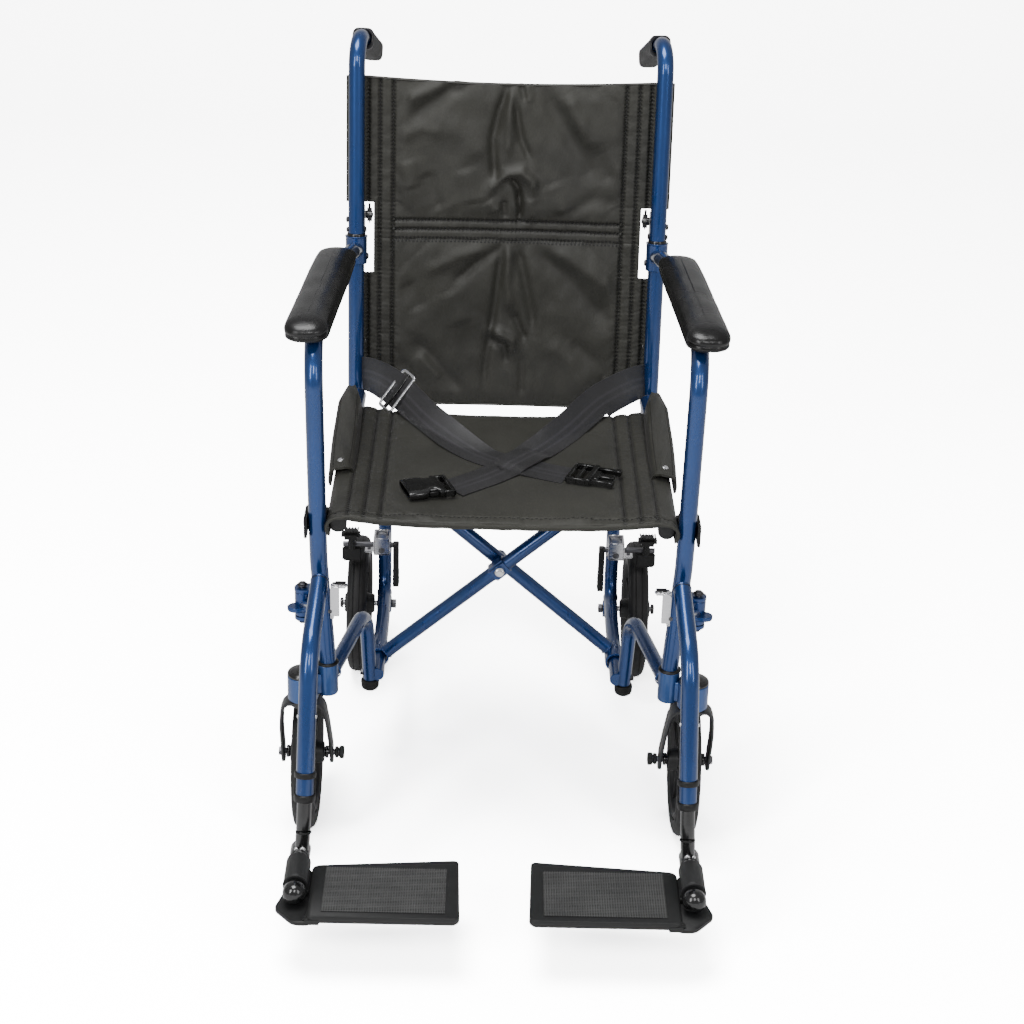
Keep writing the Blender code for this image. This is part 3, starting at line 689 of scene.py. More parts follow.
def arm_pad():
    profile = list(PAD_SIDE)
    for k in range(1, 15):
        a = k / 14 * math.pi / 2
        profile.append((-0.7 + 26.4 * (1 - math.cos(a)) ** 1.25, 11 + 15 * math.sin(a) ** 0.95))
    rings = []
    for i, h in profile:
        ring = []
        for x, y in pad_loop(i, i * 1.25, 22 - i * 0.8):
            t = (y - PAD_Y0) / (PAD_Y1 - PAD_Y0)
            drop = 0.16 * max(0.0, (0.16 - t) / 0.16) ** 2 + 0.22 * max(0.0, (t - 0.78) / 0.22) ** 2
            ring.append(pad_waist(x, y, PAD_Z + h * (1 - drop if h > 11 else 1.0)))
        rings.append(ring)
    cushion = loft(rings)
    for v in cushion.verts:
        if v.co.z > PAD_Z + 8:
            v.co.z += noise.noise(v.co * 0.035) * 0.5 + noise.noise(v.co * 0.11) * 0.18
    pts = [pad_waist(x, y, PAD_Z + 5.95) for x, y in pad_loop(1.1, 1.4, 21)]
    rings = []
    for i, p in enumerate(pts):
        side = (pts[(i + 1) % len(pts)] - pts[i - 1]).normalized().cross(Z).normalized()
        rings.append([p + (side * math.cos(a) + Z * math.sin(a)) * 1.1 for a in angles(8, 0)])
    piping = loft(rings, closed=True)
    base = loft([[pad_skew(x, y, z) for x, y in pad_loop(6, 7, 15)] for z in (684.9, 685.3, 688.0)])
    return [([cushion, piping], "vinyl"), ([base], "plastic")]


both("arm_pad", "arm_pad", "{}_side", arm_pad())
# saddle that holds the seat rail's front end
both("saddle", "seat_saddle", "{}_side", [
    ([box((214.6, -421, 436), (243, -406, 466), 3), box((239.2, -447, 436), (243, -408, 466), 1.6),
      box((217, -409, 444), (240, -404.6, 458), 1.5)], "plastic"),
    (hexagon((243, -428, 451), X, 3.6, 1.8, 0.4), "darksteel")])
both("stem_dust_cap", "stem_cap", "{}_side", [
    ([turned(at_stem(248.0), Z, [(19.3, 0), (19.3, 2.0), (18.2, 3.6), (14, 5.6), (8, 6.7),
                                 (0.02, 7.1)], 56, 0.8)], "gloss")])
both("leg_tip", "leg_tip", "{}_side", [
    ([turned((LEG_X, LEG_Y, 123.4), -Z, [(11.9, 0), (12.2, 1), (12.2, 9.5), (11.4, 12.5),
                                         (8.5, 15), (5, 16), (4.6, 15.2), (0.02, 15.2)], 48, 0.5),
      ring_of((LEG_X, LEG_Y, 119), Z, [(11.6, -0.9), (12.6, -0.4), (12.6, 0.4), (11.6, 0.9)],
              48, 0.2)], "rubber")])
both("rear_spindle", "rear_axle", "{}_side", [
    ([rod((150, AXLE_Y, WHEEL_R), X, 4.0, 83, 32)], "steel"),
    (hexagon((150.2, AXLE_Y, WHEEL_R), X, 7.4, 6.3)
     + [rod((156.6, AXLE_Y, WHEEL_R), X, 8.2, 0.8, 32, 0.2)], "darksteel"),
    ([turned((228.5, AXLE_Y, WHEEL_R), X, [(7.5, 0), (7.5, 3), (6.2, 4.5)], 36, 0.6)], "gloss")])

# (radius, place along the axle) outlines; a wheel's is the +X half, mirrored for the other
WHEEL_HALF = [(79, 11), (76.5, 12.5), (70.5, 12.5), (69, 7), (64, 5), (18, 8), (15.5, 8.6),
              (14, 20.5), (12.5, 22), (4.6, 22)]
TYRE_HALF = [(100.8, 3.7), (99.5, 4.3), (99.5, 5.1), (100.5, 5.6), (99.2, 8.8), (96.2, 12.2),
             (92.1, 13.9), (91.7, 13.5), (90.9, 13.5), (90.5, 14.3), (86.5, 14.5), (82, 13.9),
             (79.5, 12.6)]


def mirrored(half):
    return [(r, -h) for r, h in reversed(half)]


def wheel(x, y):
    body = [ring_of((x, y, WHEEL_R), X, mirrored(WHEEL_HALF) + WHEEL_HALF, 72, 0.9)]
    for k in range(8):
        a = 2 * math.pi * k / 8 + 0.2
        d = Vector((0, math.cos(a), math.sin(a)))
        for s in (-1, 1):
            c = Vector((x + s * 6.6, y, WHEEL_R))
            body.append(bar(c + d * 14, c + d * 69.5, 4.0, 5.2, X, 1.0))
    rims = [ring_of((x, y, WHEEL_R), X, [(73.2, s * 12.2), (73.2, s * 13.3), (75.4, s * 13.3),
                                         (75.4, s * 12.2)], 72, 0.3) for s in (-1, 1)]
    return [(body, "grey"), (rims, "fork")]


def tyre(x, y):
    outline = mirrored(TYRE_HALF) + [(WHEEL_R, 0)] + TYRE_HALF
    return [([ring_of((x, y, WHEEL_R), X, outline, 96, 0.5)], "tyre")]


for kind, x, y in (("rear", WHEEL_X, AXLE_Y), ("caster", STEM_X, CASTER_Y)):
    both(f"{kind}_rim", f"{kind}_wheel", kind + "_wheel_body_{}", wheel(x, y))
    both(f"{kind}_tread", f"{kind}_tyre", kind + "_wheel_body_{}", tyre(x, y))

# caster fork blade, crown to tip: distance out from the stem, y, z, half width
FORK_BLADE = (
    (4, STEM_Y, 209.8, 15.5), (12, STEM_Y, 209.8, 15), (19, STEM_Y + 2, 208, 14),
    (24.5, STEM_Y + 3.5, 202, 13), (27, STEM_Y + 6, 194, 12.4), (28.6, STEM_Y + 12, 178, 12),
    (30, STEM_Y + 20, 160, 12), (30.9, STEM_Y + 33, 136, 12.4), (31.5, CASTER_Y - 3, 112, 13.0),
    (31.5, CASTER_Y - 1, 100, 13.0), (31.5, CASTER_Y + 1, 92, 11.2),
    (31.5, CASTER_Y + 2, 87.6, 7.0), (31.5, CASTER_Y + 2, 86.6, 3.0))


def fork():
    blades = []
    for s in (-1, 1):
        path = [(s * out, y, z) for out, y, z, _ in FORK_BLADE]
        rings = []
        for i, (out, y, z, w) in enumerate(FORK_BLADE):
            normal = tangent(path, i).cross(Y).normalized() * 2.4
            c = Vector((STEM_X + s * out, y, z))
            rings.append([c + Y * w * signed_power(math.cos(a), 0.35)
                          + normal * signed_power(math.sin(a), 0.5) for a in angles(20)])
        blades.append(loft(rings))
    crown = [turned(at_stem(204.3), Z, [(15, 0), (17, 1.2), (17, 6.8), (16.4, 8.2)], 48, 0.8),
             rod(at_stem(207), Z, 6, 39.0, 32)]
    return [(blades + crown, "fork"), ([rod(at_stem(203.4), Z, 7.5, 1.4, 6, 0.3)], "darksteel")]


both("caster_yoke", "caster_fork", "caster_{}", fork())


def knurled(x0, x1, r):
    """A knob on the caster axle with fine straight knurling."""
    rings = []
    for x, k in ((x0, 0.80), (x0 + 0.9, 0.97), (x0 + 1.1, 1), (x1 - 1.1, 1), (x1 - 0.9, 0.97),
                 (x1, 0.80)):
        radii = [r * k * (1 - 0.05 * (i % 2)) for i in range(60)]
        rings.append([Vector((x, CASTER_Y + q * math.cos(a), WHEEL_R + q * math.sin(a)))
                      for q, a in zip(radii, angles(60, 0))])
    return loft(rings)


def on_caster_axle(offset):
    return (STEM_X + offset, CASTER_Y, WHEEL_R)


both("caster_spindle", "caster_axle", "caster_{}", [
    ([knurled(STEM_X - 48, STEM_X - 41.3, 8.5), knurled(STEM_X - 40.6, STEM_X - 35.6, 7.6)],
     "plastic"),
    ([rod(on_caster_axle(-41.6), X, 5.6, 2, 32), rod(on_caster_axle(-36), X, 4, 70, 28)],
     "darksteel"),
    ([turned(on_caster_axle(-s * 27.4), s * X, [(8.2, 0), (8.4, 3.6), (6.6, 4.6)], 36, 0.6)
      for s in (-1, 1)], "gloss"),
    (hexagon(on_caster_axle(34.0), X, 6.4, 3.8, 0.6), "darksteel")])

both("lock_bracket", "brake_bracket", "{}_side", [
    ([box(*entry) for entry in (
        ((157.4, -42, 208.4), (160.4, -11, 235.6), 1.2),
        ((177.6, -42, 208.4), (180.6, -11, 235.6), 1.2),
        ((157.4, -13.4, 208.4), (180.6, -10.8, 235.6), 1.0),
        ((155, -30, 206), (194, -10.8, 209.2), 1.2),
        ((157.4, -42, 208.4), (180.6, -12, 211.4), 1.0),
        ((157.4, -42, 208.4), (180.6, -40, 235.6), 0.8))], "chrome"),
    (hexagon((169, -42.2, 216), -Y, 3.6, 1.4, 0.4)
     + [rod((x, -21, 205.2), Z, 2.6, 5.4, 24, 0.3) for x in (162, 188)]
     + hexagon((169, -10.9, 226), Y, 4.2, 0.4), "darksteel"),
    ([box((160.6, -33, 212), (177.4, -14, 231), 2)], "steel")])

LEVER_Y, LEVER_Z = -34.0, 222.0      # brake lever pivot
LEVER_ARM = [(-5, 4), (0, 6), (5, 4), (7, -64), (5, -66), (-5, -66), (-7, -64)]
both("lock_lever", "brake_lever", "brake_{}", [
    ([rod((146, LEVER_Y, LEVER_Z), X, 4.0, 79, 32)], "darksteel"),
    ([plate(LEVER_ARM, (144.2, LEVER_Y, LEVER_Z), X, Z, 8.6, 2.5, 1.2),
      box((199, -58, 238), (226, -38, 252), 4.5, 4), box((207, -46, 216), (217, -32, 241), 3)]
     + [box((201 + 4.2 * k, -57.4, 251.2), (203.2 + 4.2 * k, -39, 252.6), 0.6, 2)
        for k in range(6)]
     + [box((143.6, LEVER_Y - 6.5, LEVER_Z - 62 + 6 * k),
            (153.2, LEVER_Y + 6.5, LEVER_Z - 59 + 6 * k), 0.8, 2) for k in range(4)], "plastic"),
    ([box((198, -38.5, 196), (226, -31.5, 219), 2.4)]
     + [box((199, -32, 198 + 4 * k), (225, -31, 200 + 4 * k), 0.4, 1) for k in range(5)],
     "rubber")])

HANGER_TOP = Vector((223, -457.5, 388))
HANGER_BEND = Vector((228.2, -562, 342))
HANGER_END = Vector((232.3, -611, 166))
HANGER_DOWN = (HANGER_END - HANGER_BEND).normalized()
HINGE_CAM = [(-5, -14), (-10, 2), (-8.5, 12), (-2, 17.5), (6, 15), (9.6, 6), (8, -4), (6, -14)]


def hanger():
    down, top, end = HANGER_DOWN, HANGER_TOP, HANGER_END
    rise = (top - HANGER_BEND).normalized()
    upper_band, lower_band = end - down * 33, end - down * 4
    band_profiles = ((upper_band, [(10.9, -3.6), (13.2, -3.4), (13.4, 0), (13.2, 3.4),
                                   (10.9, 3.6)]),
                     (lower_band, [(10.9, -4.2), (13.0, -4.0), (13.3, 0), (13.0, 4.0),
                                   (10.9, 4.2)]))
    bands = [ring_of(place, down, profile, 44, 0.8) for place, profile in band_profiles]
    tab = bar(upper_band + Y * 12.0, upper_band + Y * 17.5, 7.5, 6.4, down, 1.5)
    sleeve = turned(end + down * 0.6, -down, [(12.6, 0), (12.9, 1.2), (12.9, 7.5), (12.2, 8.6),
                                              (11.2, 9.2)], 44, 0.5)
    wires = [tube([upper_band + X * s * 12.2, lower_band + X * s * 12.2], 1.0, n=10, edge=0)
             for s in (-1, 1)]
    return [
        ([tube([top + rise * -2, HANGER_BEND, end], TUBE_R, [70]),
          turned((HINGE_X, HINGE_Y, 323.6), Z, [(9.2, 0), (10, 0.9), (10, 31.9), (9.2, 32.8)],
                 40, 0.5),
          tube([(HINGE_X, HINGE_Y, 336), (240, -450, 346), (229, -494, 366)], 6.5, [24], 28),
          turned(top - rise * 3, rise, [(11.2, 0), (11.2, 2.4), (9.6, 4.2), (6, 5.4),
                                        (0.02, 5.8)], 40, 0.6)], "blue"),
        ([ring_of(top - rise * 4, rise, [(10.9, -0.7), (11.5, -0.5), (11.5, 0.5), (10.9, 0.7)],
                  40, 0.2), bands[0], tab, bands[1], sleeve] + wires, "plastic"),
        ([rod((HINGE_X, HINGE_Y, 314.5), Z, 4.2, 51, 28)]
         + hexagon((HINGE_X, HINGE_Y, 365.3), Z, 5.4, 2.8, 0.6)
         + hexagon((HINGE_X, HINGE_Y, 314.8), -Z, 5.4, 2.8, 0.6), "darksteel"),
        ([dome(HANGER_BEND.lerp(end, 0.42) + Vector((s * 10.6, -2, 0)), (s, -0.2, 0), 2.6, 1.8)
          for s in (-1, 1)], "chrome"),
        ([plate(HINGE_CAM, (HINGE_X + 2, HINGE_Y - 8, 333), Z, X, 6.0, 2.5, 1.0)], "blue")]


both("leg_hanger", "leg_hanger", "hanger_{}", hanger())
both("hanger_catch", "hanger_latch", "hanger_latch_body_{}", [
    ([plate([(-9, -22), (9, -22), (9, 14), (4, 22), (-6, 24)], (204.5, -472, 366), X, Z, 4.0, 3.0),
      box((188, -480, 386), (208.5, -470, 392), 2.2),
      plate([(-8.5, -17), (2.6, -17), (2.6, 21), (-1, 24), (-8.5, 24)], (206, -479.5, 366),
            -Y, Z, 2.2, 2.0)], "chrome"),
    (hexagon((209, -481.4, 356), -Y, 2.8, 1.0), "darksteel"),
    ([turned((203.9, -472, 366), X, [(6.0, 0), (6.0, 1.0), (4.2, 1.6)], 32)], "steel"),
    ([box((189.5, -479, 391.4), (203, -471, 393.2), 0.7)], "plastic")])

FOOT = Vector((236, -619.5, 98))     # bottom of the leg extension
BARREL_X, BARREL_Z = 238, 94         # footplate hinge
both("leg_extension", "leg_extension", "extension_{}", [
    ([tube([HANGER_END - HANGER_DOWN * 86, HANGER_END + HANGER_DOWN * 26, FOOT], 8.9, [60]),
      turned((BARREL_X, -632.4, BARREL_Z), Y, [(11.6, 0), (12.5, 1), (12.5, 25), (11.6, 26)],
             40, 0.8),
      rod((BARREL_X, -700, BARREL_Z), Y, 6, 70, 28)], "blacktube"),
    ([turned((BARREL_X, -712.8, BARREL_Z), Y, [
        (0.02, 0), (4.6, 0.35), (8.6, 2.0), (11.8, 5.0), (13.6, 8.6), (14.3, 13.4), (13.9, 18),
        (12.4, 22), (9.8, 25.2), (7.5, 27)], 56, 1.2)], "gloss"),
    ([dome(FOOT + Vector((-2, -9.5, 9)), (0, -0.9, 0.3), 3.4, 2.6),
      dome(FOOT + Vector((6, -8.5, 8.5)), (0.3, -0.9, 0.3), 2.4, 1.8)], "chrome"),
    ([ring_of(HANGER_END + HANGER_DOWN * 40, HANGER_DOWN,
              [(8.7, -1.2), (9.7, -0.8), (9.7, 0.8), (8.7, 1.2)], 36, 0.3)], "plastic")])

GRID_X0, GRID_X1, GRID_Y0, GRID_Y1 = 58.0, 205.0, -727.0, -636.5
GRID_PITCH, GRID_Z, RIB_HEIGHT = 3.02, 87.25, 0.62


def slab(outline, top, thick, corner, edge=1.4):
    pts = soften(outline, corner, 6, closed=True)
    return loft([[Vector((a, b, top - thick + h)) for a, b in inset(pts, depth)] for h, depth in (
        (0, edge), (edge * 0.4, edge * 0.3), (edge, 0), (thick - edge, 0),
        (thick - edge * 0.4, edge * 0.3), (thick, edge))])


def rib(distance):
    """Share of the rib's height at a distance across the ribs."""
    near = abs((distance / GRID_PITCH) % 1 - 0.5) * 2
    return max(0.0, 1 - (1 - near) / 0.42)


def tread_grid():
    """The raised panel: one height field with ribs both ways, closed below."""
    bm = bmesh.new()
    rows = []
    for y in np.linspace(GRID_Y0, GRID_Y1, 187):
        row = []
        for x in np.linspace(GRID_X0, GRID_X1, 287):
            edge = min(x - GRID_X0, GRID_X1 - x, y - GRID_Y0, GRID_Y1 - y)
            h = RIB_HEIGHT * max(rib(x - GRID_X0), rib(y - GRID_Y0)) ** 0.5
            row.append(bm.verts.new((x, y, GRID_Z + (0.45 + h if edge > 0.4 else -1.0))))
        rows.append(row)
    for a, b in zip(rows, rows[1:]):
        for i in range(len(a) - 1):
            bm.faces.new((a[i], a[i + 1], b[i + 1], b[i]))
    rim = (rows[0] + [r[-1] for r in rows[1:]] + rows[-1][-2::-1]
           + [r[0] for r in rows[-2:0:-1]])
    base = [bm.verts.new((v.co.x, v.co.y, 84.5)) for v in rim]
    for i in range(len(rim)):
        j = (i + 1) % len(rim)
        bm.faces.new((rim[j], rim[i], base[i], base[j]))
    bm.faces.new(base)
    bmesh.ops.recalc_face_normals(bm, faces=bm.faces)
    return bm


both("footplate", "footplate", "footplate_body_{}", [
    ([slab([(47, -617), (44, -620), (41, -730), (46, -736), (222, -736), (222, -632.5)],
           87.2, 10.2, 9.0, 2.4),
      slab([(216, -736), (238, -736), (262, -708), (258, -694), (243, -640), (216, -640)],
           78.5, 6.0, 8),
      box((219, -684.5, 74), (247, -640, 87), 3.5),
      box((204, -736.4, 72.6), (226, -724, 84.5), 3)], "foot"),
    # hinge barrel and the collar at its front end
    ([ring_of((BARREL_X, -684.5, BARREL_Z), Y,
              [(7.3, 0), (13.6, 0), (15, 1.6), (15, 47), (13.4, 50), (7.3, 50)], 64, 1.0),
      ring_of((BARREL_X, -686.4, BARREL_Z), Y,
              [(11.4, 0), (15.2, 0), (15.4, 2.6), (11.4, 2.6)], 64, 0.6)], "grey"),
    ([tread_grid()], "foot_grid")])

CANE_END = Vector((193, 188, 884))
CANE_KNEE = on_post(941)
CANE_OUT = (CANE_END - CANE_KNEE).normalized()
STAY = [(-5.5, -9), (6.5, -9), (6.5, 47), (-22, 47), (-22, 17), (-5.5, 11)]
both("back_cane", "back_cane", "back_{}", [
    ([tube([on_post(669.5), CANE_KNEE, CANE_END], TUBE_R, [34], 40)], "blue"),
    ([plate(STAY, (x, FOLD_Y, FOLD_Z), X, Z, 3.2, 3.0) for x in (196.4, 214.4)], "steel"),
    ([rod((197, FOLD_Y, FOLD_Z), X, 3.0, 19, 24)]
     + hexagon((217.4, FOLD_Y, FOLD_Z), X, 4.8, 2.6)
     + hexagon((196.6, FOLD_Y, FOLD_Z), -X, 4.8, 2.6), "darksteel"),
    ([dome(on_post(690, 218.3), X, 4.2, 3.2), dome(on_post(676, 195.9) + Y * 2, -X, 4.6, 3.0),
      dome(on_post(676, 218.2), (0.96, -0.2, 0), 3.8, 2.8)], "gloss")])


def grip():
    """A grooved hand grip, a rounded square in section, with a plug in its end."""
    _, u, v = basis(-CANE_OUT)
    start = CANE_END + CANE_OUT * 5
    profile = [(0.0, 12.6), (0.4, 14.0), (1.6, 15.2), (4.0, 15.9)]
    for k in range(13):
        h = 6.0 + 6.6 * k
        profile += [(h, 15.7), (h + 0.7, 14.3), (h + 1.9, 14.3), (h + 2.6, 15.7), (h + 4.4, 15.9)]
    profile += [(90, 16.0), (92.5, 16.7), (96.5, 16.8), (97.8, 16.2), (98, 14.2), (97.2, 12.2),
                (94, 11.9), (50, 11.6)]
    rings = []
    for h, r in profile:
        ring = []
        for a in angles(56):
            c, s = math.cos(a), math.sin(a)
            square = 0.875 / ((abs(c) ** 4.0 + abs(s) ** 4.0) ** 0.25) if r > 13.5 else 1.0
            ring.append(start - CANE_OUT * h + (u * c + v * s) * min(r * square, 17.1))
        rings.append(ring)
    plug = turned(CANE_END + CANE_OUT * 3.0, CANE_OUT, [(11.4, 0), (11.4, 1.2), (8, 1.8)], 36)
    return [([loft(rings), plug], "grip")]


both("hand_grip", "hand_grip", "back_{}", grip())
both("back_catch", "back_release", "back_release_body_{}", [
    ([box((186.6, 41, 680), (193.4, 48, 704), 2.6, 4), rod((186, 44, 692), X, 5.5, 9.8, 32, 0.6),
      bar((190, 44.5, 702), (190, 40.5, 708.5), 6.0, 3.0, X, 1.2)], "gloss"),
    (hexagon((186.1, 44, 692), -X, 2.8, 1.2), "darksteel")])


# ------------------------------------------------------------------ cross brace

PIVOT_Z = 275.8


def brace(name, s, y, node, body):
    """A diagonal from the bottom tube on side s up to the seat rail on the other side."""
    foot, head = Vector((s * BASE_X, y, BASE_Z)), Vector((-s * RAIL_X, y, RAIL_Z))
    d = (head - foot).normalized()
    rail_x, pivot = -s * RAIL_X, Vector((0, y, PIVOT_Z))
    shapes = [
        tube([foot + d * 12.6, head], LOWER_R),
        ring_of((s * BASE_X, -190, BASE_Z), Y, [
            (11.0, -15), (13.6, -15), (14.2, -14.2), (14.2, 14.2), (13.6, 15), (11.0, 15)],
            56, 0.5),
        tube([(rail_x, RAIL_Y0, RAIL_Z), (rail_x, RAIL_Y1, RAIL_Z)], TUBE_R),
        weld(foot + d * 14.2, d, LOWER_R, 1.8), weld(head - d * 12, d, LOWER_R, 1.8),
        rod((0, y - 11.6, PIVOT_Z), Y, 8.4, 23.2, 36, 0.8)]
    if s < 0:
        shapes.append(bar(pivot - d * 15, pivot + d * 15, 21.4, 21.4, Y, 3.0))
    caps = [turned((rail_x, end, RAIL_Z), axis, [(11.3, 0), (11.3, 1.6), (9, 2.4)], 36, 0.6)
            for end, axis in ((RAIL_Y0 + 0.2, -Y), (RAIL_Y1 - 0.2, Y))]
    screws = [dome((rail_x, RAIL_Y0 + 40 + 110 * k, RAIL_Z - 11.0), -Z, 3.2, 1.8)
              for k in range(4)]
    one(name, node, body,
        [(shapes, "blue"), (caps, "plastic"), (screws, "darksteel")])


brace("cross_tube_a", 1, -177.5, "brace_arm_a", "brace_a")
brace("cross_tube_b", -1, -202.5, "brace_arm_b", "brace_b")
one("cross_bolt", "brace_bolt", "brace_a", [
    ([rod((0, -216, PIVOT_Z), Y, 3.8, 52, 28)], "steel"),
    (hexagon((0, -215.2, PIVOT_Z), -Y, 5.4, 4.6, 0.9)
     + hexagon((0, -165.6, PIVOT_Z), Y, 7.4, 4.4, 0.9), "chrome")])


# ------------------------------------------------------------------ cloth helpers

def face_outward(me):
    bm = bmesh.new()
    bm.from_mesh(me)
    bmesh.ops.recalc_face_normals(bm, faces=bm.faces)
    bm.to_mesh(me)
    bm.free()


def grade(stops, pitch, near=1.6):
    """Grid lines through every stop, with a close pair beside each inner stop."""
    out = [stops[0]]
    for a, b in zip(stops, stops[1:]):
        n = max(1, math.ceil((b - a) / pitch))
        pts = [a + (b - a) * k / n for k in range(1, n)]
        if b - a > 4 * near:
            inner = [p for p in pts if a + near * 1.8 < p < b - near * 1.8]
            pts = [a + near] + inner + [b - near]
        out += pts + [b]
    return out


class Panel:
    """A closed padded sheet on a warped grid: two faces and their rim, in mm."""

    def __init__(self, columns, row_count, row, mask, position):
        self.verts, self.faces, self.places = [], [], []
        ids, edges = {}, set()

        def vertex(i, j, side):
            key = (i, j, side)
            if key not in ids:
                ids[key] = len(self.verts)
                place = (columns[i], row(columns[i], j), side)
                self.places.append(place)
                self.verts.append(position(*place))
            return ids[key]

        ordered = []
        for i in range(len(columns) - 1):
            for j in range(row_count - 1):
                if not mask(i, j):
                    continue
                quad = [(i, j), (i + 1, j), (i + 1, j + 1), (i, j + 1)]
                self.faces.append([vertex(*q, 1) for q in quad])
                self.faces.append([vertex(*q, -1) for q in reversed(quad)])
                ordered += zip(quad, quad[1:] + quad[:1])
        edges.update(ordered)
        self.rim = set()
        for a, b in ordered:
            if (b, a) not in edges:
                wall = [vertex(*b, 1), vertex(*a, 1), vertex(*a, -1), vertex(*b, -1)]
                self.faces.append(wall)
                self.rim.update(wall)


def inflate(name, panel, pinned, pressure, limit, growth, frames=20):
    """The panel puffed out between its pinned points by the cloth solver, then subdivided.

    limit is the farthest a point may move, in mm."""
    me = bpy.data.meshes.new(name)
    co = np.array([(x, y + DATUM_Y, z) for x, y, z in panel.verts]) * 0.001
    me.from_pydata(co.tolist(), [], panel.faces)
    me.update()
    face_outward(me)
    ob = link(name, me)
    ob.vertex_groups.new(name="pin").add(sorted(pinned), 1.0, "REPLACE")
    mod = ob.modifiers.new("Cloth", "CLOTH")
    cloth = mod.settings
    cloth.quality, cloth.mass, cloth.air_damping = 6, 0.25, 2.0
    cloth.tension_stiffness = cloth.compression_stiffness = 12
    cloth.bending_stiffness = 0.15
    cloth.vertex_group_mass = "pin"
    cloth.use_pressure, cloth.uniform_pressure_force = True, pressure
    cloth.shrink_min = -growth
    cloth.effector_weights.gravity = 0
    mod.collision_settings.use_collision = False
    mod.collision_settings.use_self_collision = False
    mod.point_cache.frame_start, mod.point_cache.frame_end = 1, frames
    for f in range(1, frames + 1):
        bpy.context.scene.frame_set(f)
    evaluated = ob.evaluated_get(bpy.context.evaluated_depsgraph_get())
    out = np.zeros(len(me.vertices) * 3)
    evaluated.data.vertices.foreach_get("co", out)
    move = out.reshape(-1, 3) - co
    length = np.linalg.norm(move, axis=1, keepdims=True)
    move *= np.minimum(1.0, limit * 0.001 / np.maximum(length, 1e-9))
    ob.modifiers.remove(mod)
    me.vertices.foreach_set("co", (co + move).ravel())
    me.update()
    bpy.context.scene.frame_set(1)
    sub = ob.modifiers.new("Subsurf", "SUBSURF")
    sub.levels = sub.render_levels = 1
    bpy.context.view_layer.update()
    smooth = ob.evaluated_get(bpy.context.evaluated_depsgraph_get())
    me = bpy.data.meshes.new_from_object(smooth)
    ob.modifiers.clear()
    ob.data = me
    return ob


def fold_field(x, z, folds):
    """Height (mm) of given folds: each is (points, height, width)."""
    h = np.zeros_like(x)
    for pts, height, width in folds:
        best, along = np.full_like(x, 1e9), np.zeros_like(x)
        total = sum(math.dist(a, b) for a, b in zip(pts, pts[1:]))
        run = 0.0
        for a, b in zip(pts, pts[1:]):
            length = math.dist(a, b)
            ux, uz = (b[0] - a[0]) / length, (b[1] - a[1]) / length
            t = np.clip((x - a[0]) * ux + (z - a[1]) * uz, 0, length)
            d = np.hypot(x - a[0] - ux * t, z - a[1] - uz * t)
            along = np.where(d < best, (run + t) / total, along)
            best = np.minimum(best, d)
            run += length
        taper = np.clip(np.minimum(along, 1 - along) * 5 + 0.25, 0, 1)
        h += bell(best, height, width) * taper
    return h


def wrinkles(x, z, scale, seed):
    return np.array([noise.noise(Vector((a / scale, b / scale, seed))) for a, b in zip(x, z)])


def bell(d, height, width):
    return height * np.exp(-(d / width) ** 2)


def groove(d, along, depth, width, pucker, reach, pitch, phase=0.0):
    """Depth of a sewn line at distance d, with small puckers beside it."""
    return (bell(d, depth, width)
            + bell(d, pucker, reach) * np.sin(along * 2 * math.pi / pitch + phase))


def skin(rings, material):
    """A capped skin over rings of points, as (vertices, faces, material)."""
    m, last = len(rings[0]), len(rings) - 1
    faces = [[i * m + k, i * m + (k + 1) % m, (i + 1) * m + (k + 1) % m, (i + 1) * m + k]
             for i in range(last) for k in range(m)]
    faces += [list(range(m - 1, -1, -1)), [last * m + k for k in range(m)]]
    return [p for ring in rings for p in ring], faces, material


def stitches(tree, line, direction, pitch=5.2):
    """Thread stitches where rays along direction from a line (metres) meet the cloth."""
    length, radius, lift = 0.0032, 0.00075, 0.0001
    out, offset = [], 0.0
    for a, b in zip(line, line[1:]):
        t = (b - a).normalized()
        s = offset
        while s < (b - a).length:
            p = a + t * s
            s += pitch * 0.001
            hit, normal, _, _ = tree.ray_cast(p - direction * 0.08, direction)
            if hit is None:
                continue
            if normal.dot(direction) > 0:
                normal = -normal
            along = (t - normal * t.dot(normal)).normalized()
            side = along.cross(normal)
            c = hit + normal * lift
            out.append(skin([[c + along * (k * length) + (
                side * math.cos(an) + normal * math.sin(an)) * (r * radius)
                for an in angles(6, 0)]
                for k, r in ((-0.5, 0.35), (-0.3, 0.9), (0.3, 0.9), (0.5, 0.35))], "thread"))
        offset = s - (b - a).length
    return out


def tree_of(ob):
    return BVHTree.FromPolygons([v.co.copy() for v in ob.data.vertices],
                                [tuple(p.vertices) for p in ob.data.polygons])


def with_extras(ob, materials, extras):
    """Joins (vertices, faces, material) groups, in metres, to the object's mesh."""
    verts = [v.co.copy() for v in ob.data.vertices]
    faces = [tuple(p.vertices) for p in ob.data.polygons]
    indices = [p.material_index for p in ob.data.polygons]
    names = list(materials)
    for points, polygons, material in extras:
        if material not in names:
            names.append(material)
        base = len(verts)
        verts += points
        faces += [tuple(base + i for i in f) for f in polygons]
        indices += [names.index(material)] * len(polygons)
    me = bpy.data.meshes.new(ob.name)
    me.from_pydata(verts, [], faces)
    for material in names:
        me.materials.append(MATERIALS[material])
    me.polygons.foreach_set("material_index", indices)
    me.update()
    face_outward(me)
    me.shade_smooth()
    me.set_sharp_from_angle(angle=math.radians(62))
    ob.data = me


# ------------------------------------------------------------------ back panels

BACK_SEAMS = (158.0, 176.0, 192.0)   # |x| of the upright seams
WING_X = 184.0                       # beyond this a panel is only part height
PANEL_THICK = 6.0


def hang(x):
    """Backward sag of the sling between the posts."""
    return 7.0 * (1 - min(1.0, abs(x) / 186.0) ** 2.2)


